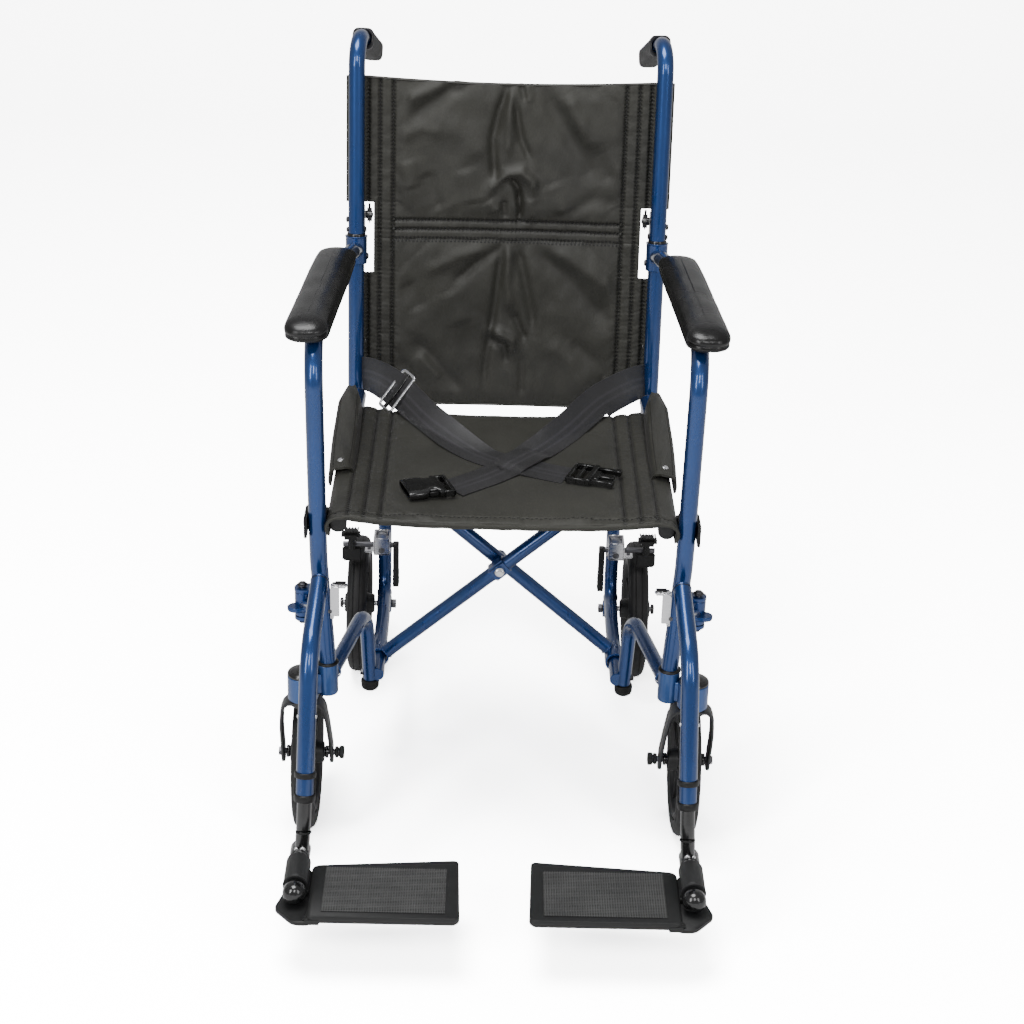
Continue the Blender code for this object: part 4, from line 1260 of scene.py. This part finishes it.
def back_line(xs, zs):
    return [metres(x, back_y(z) + 15, z) for x, z in zip(xs, zs)]


def free_edge_hem(edge, shift, x_out):
    """The turned hem along a panel's free edge."""
    points = [metres(x, back_y(edge(x)) + 15 + hang(x), edge(x) + shift)
              for x in np.linspace(-x_out + 2, x_out - 2, 90)]
    rings = []
    for i, p in enumerate(points):
        u = tangent(points, i).cross(Y).normalized()
        rings.append([p + (u * math.cos(a) * 2.1 + Y * math.sin(a) * 2.1 * 1.5) * 0.001
                      for a in angles(8, 0)])
    return skin(rings, "nylon_back")


def back_panel(name, bottom, z_mid, top, wings_below, x_out, seams_z, stitched_z, folds, seed):
    """A back panel. Inner columns run the whole height; wings stop at z_mid."""
    stops = {-x_out, -WING_X, WING_X, x_out} | {s * v for s in (-1, 1) for v in BACK_SEAMS}
    columns = grade(sorted(stops), 5.0)
    parts = []
    for lo, hi in ((bottom(0.0), z_mid), (z_mid, top(0.0))):
        lines = grade(sorted({lo, hi} | {s for s in seams_z if lo < s < hi}), 5.0)
        parts.append([(z - lines[0]) / (lines[-1] - lines[0]) for z in lines])
    below, above = parts
    split = len(below)

    def row(x, j):
        if j < split:
            return bottom(x) + (z_mid - bottom(x)) * below[j]
        return z_mid + (top(x) - z_mid) * above[j - split + 1]

    def mask(i, j):
        inner = -WING_X - 0.01 <= columns[i] and columns[i + 1] <= WING_X + 0.01
        return inner or (j < split - 1 if wings_below else j >= split - 1)

    def position(x, z, side):
        return x, back_y(z) + 15 + hang(x) - side * PANEL_THICK * 0.34, z

    panel = Panel(columns, split + len(above) - 1, row, mask, position)
    pinned = set(panel.rim)
    for k, (x, z, _) in enumerate(panel.places):
        if any(abs(abs(x) - s) < 0.05 for s in BACK_SEAMS) or any(
                abs(z - s) < 0.05 and abs(x) < 158.05 for s in seams_z):
            pinned.add(k)
    ob = inflate(name, panel, pinned, pressure=5.0, limit=4.2, growth=0.010)

    # both faces pulled in on the seam lines, then folds and wrinkles
    me = ob.data
    co = np.array([v.co for v in me.vertices])
    front = (np.array([v.normal for v in me.vertices])[:, 1] < 0).astype(float) * 2 - 1
    x, z = co[:, 0] * 1000, co[:, 2] * 1000
    depth = np.zeros_like(x)
    for s in BACK_SEAMS:
        depth += groove(np.abs(np.abs(x) - s), z, depth=1.9, width=2.2, pucker=0.55, reach=6.0,
                        pitch=6.4, phase=s)
    for s in seams_z:
        depth += np.clip((160 - np.abs(x)) / 3, 0, 1) * groove(
            np.abs(z - s), x, depth=2.0, width=2.2, pucker=0.55, reach=6.0, pitch=6.8, phase=s)
    y = co[:, 1] * 1000 + depth * front
    f = fold_field(x, z, folds) * np.clip((157 - np.abs(x)) / 14, 0, 1) * 1.7
    w = wrinkles(x, z, 34, seed) * 2.0 + wrinkles(x, z * 0.6, 13, seed + 3) * 0.9
    y -= f + w * np.clip((172 - np.abs(x)) / 20, 0.15, 1)
    co[:, 1] = y / 1000
    me.vertices.foreach_set("co", co.ravel())
    me.update()

    tree = tree_of(ob)
    extras = []
    for s in BACK_SEAMS:
        wing = s > WING_X
        lo = z_mid if wing and not wings_below else bottom(s)
        hi = z_mid if wing and wings_below else top(s)
        for side in (-1, 1):
            line = back_line([side * s] * 14, np.linspace(lo + 3, hi - 3, 14))
            extras += stitches(tree, line, Y)
    for z in seams_z + stitched_z:
        extras += stitches(tree, back_line(np.linspace(-155, 155, 12), [z] * 12), Y)
    edge, shift = (bottom, 1.6) if wings_below else (top, -1.6)
    extras.append(free_edge_hem(edge, shift, x_out))
    with_extras(ob, ["nylon_back"], extras)
    return ob


# folds: (x, z) points, height, width
UPPER_FOLDS = [
    ([(0.8, 878), (-14, 838), (-23, 798), (-20, 762), (-17, 735)], -4.2, 6.5),
    ([(6, 850), (12, 820), (17, 798), (30, 770)], -3.4, 5.0),
    ([(1, 872), (0, 820), (-2, 775)], 3.2, 7.0),
    ([(13, 878), (20, 850)], -2.2, 4.0), ([(22, 874), (26, 848)], 1.8, 5.0),
    ([(-30, 722), (-18, 740), (0, 753), (18, 756), (34, 742), (36, 722)], 4.6, 7.5),
    ([(-6, 742), (6, 743), (14, 732), (17, 706), (16, 684)], -4.8, 4.6),
    ([(-6, 716), (-3, 690)], -3.0, 4.5), ([(30, 720), (34, 690)], 2.4, 7.0),
    ([(-26, 716), (-14, 700)], 2.6, 8.0), ([(76, 862), (100, 815), (125, 782)], 4.0, 13.0),
    ([(42, 868), (76, 815), (108, 765), (122, 738)], -3.8, 13.0),
    ([(112, 800), (142, 742)], -3.0, 11.0), ([(-60, 874), (-98, 850), (-138, 824)], -4.0, 10.0),
    ([(-84, 874), (-112, 862), (-142, 850)], 2.8, 8.0),
    ([(-104, 830), (-60, 800), (-40, 770)], 2.4, 16.0),
    ([(-116, 752), (-104, 722), (-92, 700)], -3.2, 12.0),
    ([(-140, 770), (-130, 730)], 2.4, 12.0), ([(60, 742), (80, 700)], 2.6, 14.0),
    ([(-60, 760), (-48, 710)], 2.4, 16.0), ([(-150, 800), (-120, 812), (-90, 806)], 1.8, 9.0),
    ([(78, 700), (120, 720), (150, 712)], -2.0, 10.0)]
LOWER_FOLDS = [
    ([(-6, 655), (-12, 600), (-18, 546), (-27, 480), (-28, 440)], -3.6, 6.0),
    ([(14, 655), (28, 600), (38, 552), (40, 530)], -3.8, 7.0),
    ([(3, 652), (2, 600), (8, 560)], 3.2, 6.5),
    ([(34, 652), (80, 616), (120, 575), (148, 546)], -3.6, 13.0),
    ([(60, 650), (112, 622), (150, 596)], 3.0, 12.0),
    ([(-6, 652), (-40, 628), (-72, 600)], -3.0, 7.0),
    ([(-30, 652), (-70, 636), (-110, 616)], 2.2, 9.0),
    ([(-23, 534), (-6, 530), (11, 520), (10, 500)], 4.2, 7.0),
    ([(-22, 520), (0, 512), (4, 486)], -3.2, 5.5), ([(12, 560), (20, 540), (30, 520)], -3.0, 5.0),
    ([(-128, 520), (-92, 480), (-58, 446)], -4.2, 11.0),
    ([(-150, 492), (-126, 462), (-104, 440)], -3.2, 9.0),
    ([(-120, 500), (-88, 462)], 2.6, 8.0), ([(24, 500), (26, 440)], -2.6, 6.0),
    ([(60, 520), (92, 490), (120, 450)], 2.8, 14.0),
    ([(92, 520), (130, 490), (150, 462)], -3.0, 11.0), ([(-80, 590), (-60, 540)], 2.4, 15.0),
    ([(-140, 600), (-120, 560)], -2.2, 12.0)]


def upper_top(x):
    return 880.0 - 7.5 * (1 - min(1.0, abs(x) / 190.0) ** 2)


def lower_bottom(x):
    a = abs(x)
    if a < 96:
        return 424.0
    if a < WING_X:
        return 424.0 + (a - 96) / 88 * 54
    return 478.0 + (a - WING_X) / 32 * 14


upper = back_panel("back_upper", bottom=lambda x: 659.5, z_mid=710.0, top=upper_top,
                   wings_below=False, x_out=222.0, seams_z=(673.2, 686.0), stitched_z=(663.2,),
                   folds=UPPER_FOLDS, seed=1.7)
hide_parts("back_sling_upper")
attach(upper, "back_left")
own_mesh(upper)

lower = back_panel("back_lower", bottom=lower_bottom, z_mid=613.0, top=lambda x: 660.9,
                   wings_below=True, x_out=215.5, seams_z=(), stitched_z=(657.2,),
                   folds=LOWER_FOLDS, seed=4.1)
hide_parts("back_sling_lower")
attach(lower, "left_side")
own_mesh(lower)


# ------------------------------------------------------------------ seat

SEAT_SEAMS = (150.0, 170.0, 190.0)
SEAT_Y0, SEAT_Y1 = -446.0, -104.0
WRAP = 13.2                          # radius of the cloth round the rail
# (x, y) points, height, width
SEAT_FOLDS = [
    ([(-60, -440), (-20, -442), (30, -440)], 1.2, 9.0), ([(60, -438), (110, -430)], 1.6, 8.0),
    ([(-120, -432), (-80, -440)], 1.4, 8.0), ([(-140, -120), (-100, -160), (-70, -230)], -1.4, 16.0),
    ([(140, -120), (110, -170)], -1.6, 16.0), ([(-40, -118), (0, -150), (30, -120)], 1.0, 14.0),
    ([(120, -300), (60, -360), (20, -420)], 1.1, 18.0), ([(-130, -300), (-100, -380)], 1.0, 14.0)]


def seat_mid(x, y):
    """Height of the seat's middle surface: a shallow sag between the rails."""
    a = abs(x)
    sag = 12.5 * (1 - min(1.0, a / 196.0) ** 3.4) * (0.80 + 0.20 * min(1.0, (y - SEAT_Y0) / 60))
    return 468.4 - sag - 3.0 * max(0.0, (a - 203) / 12) ** 2


def seat_point(x, y, lift=0.0):
    """A seat point at length x along the cloth: past the rails it curls down round them."""
    a = abs(x)
    if a <= RAIL_X:
        t = max(0.0, (a - 186) / (RAIL_X - 186))
        return Vector((x, y, seat_mid(x, y) * (1 - t) + (RAIL_Z + WRAP) * t + lift))
    t = (a - RAIL_X) / WRAP
    return Vector((math.copysign(RAIL_X + math.sin(t) * (WRAP + lift), x), y,
                   RAIL_Z + math.cos(t) * (WRAP + lift)))


def front_bow(x):
    """How far back the front hem bows at x."""
    return 2.5 * (1 - (x / 214) ** 2)


def rolled_hem():
    """The seat's rolled front hem, thinner where it wraps the rails."""
    rings = []
    for i in range(121):
        x = -232 + 464 * i / 120
        wrap = min(1.0, max(0.0, (abs(x) - 186) / 16))
        r = (5.0 + 0.5 * noise.noise(Vector((x * 0.08, 1.3, 0)))) * (1 - wrap) + 2.3 * wrap
        droop = (1.2 - 0.7 * noise.noise(Vector((x * 0.05, 3.3, 0)))) * (1 - wrap)
        c = seat_point(x, SEAT_Y0 + 3.6 - 1.6 * wrap + front_bow(x))
        c.z = seat_point(x, SEAT_Y0).z - droop
        t = max(0.0, (abs(x) - RAIL_X) / WRAP)
        out = Vector((math.sin(t) * (1 if x > 0 else -1), 0, math.cos(t)))
        rings.append([metres(*(c + Y * math.cos(a) * r + out * (math.sin(a) * r)))
                      for a in angles(14, 0)])
    return skin(rings, "nylon_seat")


def seat():
    stops = sorted([-234.0, 234.0] + [s * v for s in (-1, 1) for v in SEAT_SEAMS])
    ys = grade([SEAT_Y0, SEAT_Y0 + 14, SEAT_Y1 - 12, SEAT_Y1], 5.4)

    def row(x, j):
        return ys[j] + (front_bow(x) if ys[j] < SEAT_Y0 + 30 else 0)

    def position(x, y, side):
        half = 3.0 - 1.9 * min(1.0, max(0.0, (abs(x) - 188) / 14))
        return tuple(seat_point(x, y, side * half))

    panel = Panel(grade(stops, 5.4), len(ys), row, lambda i, j: True, position)
    pinned = set(panel.rim)
    for k, (x, _, _) in enumerate(panel.places):
        if any(abs(abs(x) - s) < 0.05 for s in SEAT_SEAMS) or abs(x) > 198:
            pinned.add(k)
    ob = inflate("seat_cloth", panel, pinned, pressure=4.0, limit=3.6, growth=0.006)

    me = ob.data
    co = np.array([v.co for v in me.vertices])
    up = (np.array([v.normal for v in me.vertices])[:, 2] > 0).astype(float) * 2 - 1
    x, y = co[:, 0] * 1000, co[:, 1] * 1000 - DATUM_Y
    depth = groove(np.abs(y - (SEAT_Y0 + 16)), x, depth=1.1, width=2.2, pucker=0.5, reach=7,
                   pitch=11.0)
    for s in SEAT_SEAMS:
        depth += groove(np.abs(np.abs(x) - s), y, depth=2.3, width=2.4, pucker=0.35, reach=6.0,
                        pitch=6.6, phase=s)
    z = co[:, 2] * 1000 - depth * up
    w = wrinkles(x, y, 46, 9.3) * 1.2 + wrinkles(x, y * 0.5, 17, 2.3) * 0.45
    z += (fold_field(x, y, SEAT_FOLDS) + w) * np.clip((196 - np.abs(x)) / 16, 0.1, 1)
    z += wrinkles(x, y * 0, 26, 5.1) * bell(y - SEAT_Y0, 1.3, 10)
    co[:, 2] = z / 1000
    me.vertices.foreach_set("co", co.ravel())
    me.update()

    tree = tree_of(ob)
    lines = [[(side * s, y) for y in np.linspace(SEAT_Y0 + 8, SEAT_Y1 - 6, 12)]
             for s in SEAT_SEAMS for side in (-1, 1)]
    lines += [[(x, y) for x in np.linspace(-205, 205, 14)] for y in (SEAT_Y0 + 16, SEAT_Y1 - 9)]
    extras = []
    for line in lines:
        extras += stitches(tree, [metres(x, y, 470) for x, y in line], DOWN, pitch=5.6)
    with_extras(ob, ["nylon_seat"], extras + [rolled_hem()])
    return ob


def between_rails(ob, node=None):
    """Hides the CAD node that the piece replaces, if one is given, and bakes the piece's placement
    into its mesh.
    """
    if node:
        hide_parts(node)
    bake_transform(ob)


between_rails(seat(), "seat_sling")


# ------------------------------------------------------------------ lap belt and flaps

def sheet_patch(name, grid, thick, material, uv=None, extras=()):
    """A thin closed sheet from a grid of (point, normal) in mm: grid[i][j]."""
    n, m = len(grid), len(grid[0])
    verts, faces = [], []
    for side in (1, -1):
        for row in grid:
            verts += [metres(*(p + normal.normalized() * (side * thick / 2)))
                      for p, normal in row]
    under = n * m
    for i in range(n - 1):
        for j in range(m - 1):
            a, b, c, d = i * m + j, i * m + j + 1, (i + 1) * m + j + 1, (i + 1) * m + j
            faces += [(a, b, c, d), (under + d, under + c, under + b, under + a)]
    rim = (list(range(m)) + [i * m + m - 1 for i in range(1, n)]
           + [(n - 1) * m + j for j in range(m - 2, -1, -1)] + [i * m for i in range(n - 2, 0, -1)])
    for a, b in zip(rim, rim[1:] + rim[:1]):
        faces.append((b, a, under + a, under + b))
    me = bpy.data.meshes.new(name)
    me.from_pydata(verts, [], faces)
    ob = link(name, me)
    if extras:
        with_extras(ob, [material], extras)
        return ob
    me.materials.append(MATERIALS[material])
    face_outward(me)
    layer = me.uv_layers.new(name="UVMap")
    for loop in me.loops:
        i, j = divmod(loop.vertex_index % under, m)
        layer.data[loop.index].uv = uv[i][j]
    me.shade_smooth()
    me.set_sharp_from_angle(angle=math.radians(40))
    return ob


def spline(pts, n):
    """n + 1 points on a Catmull-Rom curve through pts, roughly even in length."""
    pts = [Vector(p) for p in pts]
    pts = [pts[0] * 2 - pts[1]] + pts + [pts[-1] * 2 - pts[-2]]
    dense = []
    for a, b, c, d in zip(pts, pts[1:], pts[2:], pts[3:]):
        for k in range(24):
            t = k / 24
            dense.append(0.5 * ((2 * b) + (c - a) * t + (2 * a - 5 * b + 4 * c - d) * t * t
                                + (3 * b - a - 3 * c + d) * t ** 3))
    dense.append(pts[-2])
    run = [0.0]
    for a, b in zip(dense, dense[1:]):
        run.append(run[-1] + (b - a).length)
    out, k = [], 0
    for i in range(n + 1):
        want = run[-1] * i / n
        while k < len(run) - 2 and run[k + 1] < want:
            k += 1
        f = (want - run[k]) / max(run[k + 1] - run[k], 1e-9)
        out.append(dense[k].lerp(dense[k + 1], min(max(f, 0), 1)))
    return out, run[-1]


STRAP_HALF = 24.0


def belt(name, node, pts, twist, lift=None):
    """Webbing along pts. twist is its roll in degrees (0 lies flat, 90 stands on edge);
    lift(p) is extra clearance over the seat."""
    n, m = 110, 12
    centre, length = spline(pts, n)
    grid, uv = [], []
    for i, c in enumerate(centre):
        t = tangent(centre, i)
        flat = Z.cross(t).normalized()
        up = t.cross(flat).normalized()
        s = i / n * (len(twist) - 1)
        k = min(int(s), len(twist) - 2)
        a = math.radians(twist[k] + (twist[k + 1] - twist[k]) * (s - k))
        w = flat * math.cos(a) + up * math.sin(a)
        normal = t.cross(w)
        if normal.z < 0:
            normal = -normal
        row = []
        for j in range(m + 1):
            q = (j / m - 0.5) * 2
            ripple = 0.9 * math.sin(q * 2.2 + i * 0.06) * 0.5 + 0.8 * math.sin(i * 0.11 + q)
            p = c + w * STRAP_HALF * q + normal * ripple
            lowest = seat_mid(p.x, p.y) + 5.6 + 1.7 + (lift(p) if lift else 0.0)
            if SEAT_Y0 < p.y < SEAT_Y1 and p.z < lowest:
                p.z = lowest
            row.append((p, normal))
        grid.append(row)
        uv.append([(j / m, i / n * length / (2 * STRAP_HALF)) for j in range(m + 1)])
    between_rails(sheet_patch(name, grid, 1.9, "webbing", uv), node)


def over_right_strap(p):
    """Clearance where the left strap crosses over the right one."""
    start = Vector((-98, -162, 0))
    d = (Vector((84, -306, 0)) - start).normalized()
    q = Vector((p.x, p.y, 0)) - start
    t = q.dot(d)
    off = (q - d * t).length
    return 3.2 * max(0.0, 1 - max(0.0, off - 20) / 14) if -30 < t < 235 else 0.0


belt("belt_right", "lap_belt_right",
     [(-198, -6, 476), (-183, -25, 481), (-164, -58, 486), (-140, -96, 485), (-98, -162, 472),
      (-30, -245, 462), (40, -285, 462), (84, -306, 464)], [84, 66, 58, 48, 24, 4, 0, 0])
belt("belt_left", "lap_belt_left",
     [(198, -6, 474), (183, -25, 478), (160, -60, 482), (128, -104, 480), (86, -172, 469),
      (40, -238, 463), (-12, -303, 462), (-66, -352, 462)], [-84, -64, -52, -40, -18, -4, 0, 0],
     lift=over_right_strap)


def heading(a, b):
    """Start, level direction and sideways direction of a line."""
    a, t = Vector(a), Vector(b) - Vector(a)
    t.z = 0
    t.normalize()
    return a, t, Z.cross(t)


def cuboids(line, boxes, bevel, tilt=0.0):
    """Boxes along, across and above a line: (l0, l1, s0, s1, z0, z1)."""
    start, t, side = heading(*line)
    out = []
    for l0, l1, s0, s1, z0, z1 in boxes:
        bm = box((l0, s0, z0), (l1, s1, z1), bevel)
        for v in bm.verts:
            q = v.co
            v.co = start + t * q.x + side * q.y + Z * (q.z + tilt * q.x)
        out.append(bm)
    return out


def strap_fitting(name, node, parts):
    between_rails(link(name, mesh_from(name, parts)), node)


TONGUE_LINE = ((88, -306, 465.5), (150, -328, 465.5))
SOCKET_LINE = ((-68.6, -354.1, 465.5), (-124, -374, 466))
strap_fitting("buckle_tongue_half", "buckle_tongue", [
    (cuboids(TONGUE_LINE, [
        (-2, 3, -24, 24, 0, 8), (11, 15, -24, 24, 0, 8.5), (-2, 26, -24, -19.5, 0, 8.5),
        (-2, 26, 19.5, 24, 0, 8.5), (24, 31, -24, 24, 0, 9.5)], 1.4, tilt=0.02)
     + cuboids(TONGUE_LINE, [
         (30, 54, -21.5, -16, 1.2, 8.2), (30, 54, 16, 21.5, 1.2, 8.2),
         (52, 61, -23, -14.5, 0.8, 8.6), (52, 61, 14.5, 23, 0.8, 8.6),
         (30, 57, -3.6, 3.6, 2.2, 6.8), (30, 38, -12, 12, 2, 7)], 1.3, tilt=0.02), "gloss")])

# socket sections: place along, half width, bottom, top; the last two go inside its mouth
SOCKET = ((11, 23, 0.6, 10.4), (13, 24, 0, 11.6), (18, 24, 0, 12.6), (21.5, 17.5, 0, 12.8),
          (29, 17.5, 0, 12.8), (33, 22.5, 0, 12.6), (38, 24, 0, 12.4), (54, 24, 0, 12.2),
          (57.5, 23.4, 0.4, 11.8), (57.5, 20.6, 2.6, 9.8), (46, 20.2, 2.8, 9.6))


def socket_body():
    start, t, side = heading(*SOCKET_LINE)
    return loft([[start + t * along + side * w * signed_power(math.cos(a), 0.42)
                  + Z * ((z0 + z1) / 2 + (z1 - z0) / 2 * signed_power(math.sin(a), 0.55))
                  for a in angles(40)] for along, w, z0, z1 in SOCKET])


strap_fitting("buckle_socket_half", "buckle_socket", [
    (cuboids(SOCKET_LINE, [(-3, 2, -24, 24, 0, 9), (9, 13, -24, 24, 0, 10),
                           (-3, 13, -24, -20, 0, 9.6), (-3, 13, 20, 24, 0, 9.6)], 1.4)
     + [socket_body()], "gloss"),
    (cuboids(SOCKET_LINE, [(19, 31, -22, -18.6, 3, 9), (19, 31, 18.6, 22, 3, 9)], 1.2),
     "plastic")])


def slide():
    """Slide on the right strap: a bright frame with a dark centre bar."""
    a, b = Vector((-152.0, -77, 486.5)), Vector((-135.5, -105.0, 484.5))
    half_width, half_length, roll = 29.0, 15.5, math.radians(50)
    t = (b - a).normalized()
    flat = Z.cross(t).normalized()
    w = (flat * math.cos(roll) + t.cross(flat).normalized() * math.sin(roll)).normalized()
    normal = t.cross(w)
    if normal.z < 0:
        normal = -normal
    c = (a + b) / 2 + normal * 2.2
    corners = [c + t * (i * half_length) + w * (j * half_width)
               for i, j in ((-1, -1), (1, -1), (1, 1), (-1, 1))]
    seam = corners[3].lerp(corners[0], 0.5)
    path = fillet([seam] + corners + [seam], [4.5] * 4, 12)
    n = len(path) - 1
    rings = []
    for i in range(n):
        side = (path[(i + 1) % n] - path[i - 1]).normalized().cross(normal).normalized()
        rings.append([path[i] + side * (2.1 * signed_power(math.cos(q), 0.6))
                      + normal * (1.5 * signed_power(math.sin(q), 0.6)) for q in angles(14)])
    reach, rise = w * (half_width - 1), normal * 0.8
    mid = bar(c + reach + rise, c - reach + rise, 7.5, 3.2, normal, 1.2)
    return [([loft(rings, closed=True)], "chrome"), ([mid], "gloss")]


strap_fitting("belt_slide_frame", "belt_slide", slide())


def flap_x(t, q):
    """Distance out across the flap: t runs 0 to 1 forward, q -1 to 1 outward."""
    narrow = 6.0 * max(0.0, (0.14 - t) / 0.14)
    return 209.5 - 3.0 * t + (14.0 + 2.5 * math.sin(t * 3.0) - narrow) * q * 0.92


def flap_stitch_x(t, q):
    return 209.5 - 3.0 * t + (14.0 + 2.5 * math.sin(t * 3.0)) * q * 0.92


def flap_y(t):
    return -82 - 235 * t


def side_flap(side):
    """Fabric flap folded over the seat rail, with its snap near the front."""
    n, m = 46, 12
    grid = []
    for i in range(n + 1):
        t = i / n
        row = []
        for j in range(m + 1):
            q = (j / m - 0.5) * 2
            z = (475.2 + 12.5 * (1 - t) ** 1.2 - 5.0 * q * (1 - 0.4 * t) - 3.2 * q * q
                 + 1.0 * math.sin(t * 9 + q * 2) + 0.5 * math.sin(q * 5 + t * 17))
            if t > 0.93:
                z -= (t - 0.93) * 30
            row.append((Vector((side * flap_x(t, q), flap_y(t) + 2.5 * math.sin(q * 3), z)),
                        Vector((side * 0.3, 0, 1))))
        # the inner edge turns down onto the seat, the outer one hangs outside the rail
        a, b = row[0][0], row[-1][0]
        for u in (0.3, 0.65, 1.0):
            row.insert(0, (Vector((a.x - side * 2.6 * math.sin(u * 1.5), a.y + 1.2 * u,
                                   a.z + (466.3 - a.z) * u)), Vector((-side, 0, 0.35))))
        for u in (0.2, 0.45, 0.72, 1.0):
            out = abs(b.x) + 1.6 * math.sin(u * 3.0) + (219.6 - abs(b.x)) * u
            row.append((Vector((side * out, b.y, b.z + (448.5 - b.z) * u)),
                        Vector((side, 0, 0.25 * (1 - u)))))
        grid.append(row)
    snap = turned((side * 207, -300, 476.6), (side * 0.2, 0, 1),
                  [(4.6, 0), (4.8, 0.8), (3.8, 1.9), (2.0, 1.7), (0.02, 1.4)], 28, 0.4)
    snap.verts.index_update()
    snap_group = ([metres(*v.co) for v in snap.verts],
                  [[v.index for v in f.verts] for f in snap.faces], "chrome")
    ob = sheet_patch(f"seat_flap_{'left' if side > 0 else 'right'}", grid, 3.0, "nylon_seat",
                     extras=[snap_group])
    tree = tree_of(ob)
    extras = []
    for q in (-0.78, 0.78):
        line = [metres(side * flap_stitch_x(t, q), flap_y(t), 500)
                for t in np.linspace(0.12, 0.97, 10)]
        extras += stitches(tree, line, DOWN)
    with_extras(ob, ["nylon_seat", "chrome"], extras)
    between_rails(ob)


side_flap(1)
side_flap(-1)


# ------------------------------------------------------------------ stage, light, camera (m)

def studio_floor():
    """A wide floor that curves up into a wall behind the chair."""
    half, wall_y, r, steps = 26.0, 3.2, 1.4, 18
    profile = [(-half, 0.0), (wall_y, 0.0)]
    for k in range(1, steps + 1):
        a = math.pi / 2 * k / steps
        profile.append((wall_y + r * math.sin(a), r - r * math.cos(a)))
    profile.append((wall_y + r, 6.5))
    bm = bmesh.new()
    a, b = ([bm.verts.new((x, y, z)) for y, z in profile] for x in (-half, half))
    for i in range(len(profile) - 1):
        bm.faces.new((a[i], b[i], b[i + 1], a[i + 1]))
    me = bpy.data.meshes.new("studio_floor")
    bm.to_mesh(me)
    bm.free()
    me.materials.append(MATERIALS["floor"])
    me.shade_smooth()
    link("studio_floor", me)


# name, place, target, width, height, power in watts
LIGHTS = (
    ("key_top", (-0.5, -0.2, 3.3), (0, 0.1, 0.3), 1.5, 1.5, 62),
    ("front_left", (-1.9, -2.4, 1.9), (0, 0, 0.5), 0.6, 1.8, 30),
    ("front_mid", (0.1, -3.4, 2.9), (0, 0, 0.5), 0.8, 1.3, 30),
    ("front_right", (2.0, -2.5, 1.9), (0, 0, 0.5), 0.6, 1.8, 17),
)


def area_light(name, place, target, width, height, power):
    light = bpy.data.lights.new(name, "AREA")
    light.energy, light.shape = power, "RECTANGLE"
    light.size, light.size_y = width, height
    ob = bpy.data.objects.new(name, light)
    ob.location = place
    ob.rotation_mode = "QUATERNION"
    ob.rotation_quaternion = (Vector(target) - Vector(place)).to_track_quat("-Z", "Y")
    bpy.context.scene.collection.objects.link(ob)


def white_world():
    """White all round, and brighter where the camera sees it."""
    ambient, seen_extra = 0.36, 9.0
    world = bpy.data.worlds.new("studio")
    world.use_nodes = True
    tree = world.node_tree
    background = tree.nodes["Background"]
    background.inputs["Color"].default_value = (1, 1, 1, 1)
    path, gain = tree.nodes.new("ShaderNodeLightPath"), tree.nodes.new("ShaderNodeMath")
    gain.operation = "MULTIPLY_ADD"
    tree.links.new(path.outputs["Is Camera Ray"], gain.inputs[0])
    gain.inputs[1].default_value, gain.inputs[2].default_value = seen_extra, ambient
    tree.links.new(gain.outputs[0], background.inputs["Strength"])
    bpy.context.scene.world = world


def camera():
    cam = bpy.data.cameras.new("view")
    cam.sensor_width, cam.lens = 36.0, 75.131543
    cam.clip_start, cam.clip_end = 0.05, 60
    ob = bpy.data.objects.new("view", cam)
    yaw, pitch, roll = (math.radians(v) for v in (0.876, 25.981, 1.707))
    forward = Vector((math.sin(yaw) * math.cos(pitch), math.cos(yaw) * math.cos(pitch),
                      -math.sin(pitch)))
    level = Vector((math.cos(yaw), -math.sin(yaw), 0))
    rise = level.cross(forward)
    right = level * math.cos(roll) + rise * math.sin(roll)
    up = rise * math.cos(roll) - level * math.sin(roll)
    pose = Matrix((right, up, -forward)).transposed().to_4x4()
    pose.translation = metres(-24.853, -2782.844, 1618.77)
    ob.matrix_world = pose
    bpy.context.scene.collection.objects.link(ob)
    bpy.context.scene.camera = ob


studio_floor()
for entry in LIGHTS:
    area_light(*entry)
white_world()
camera()
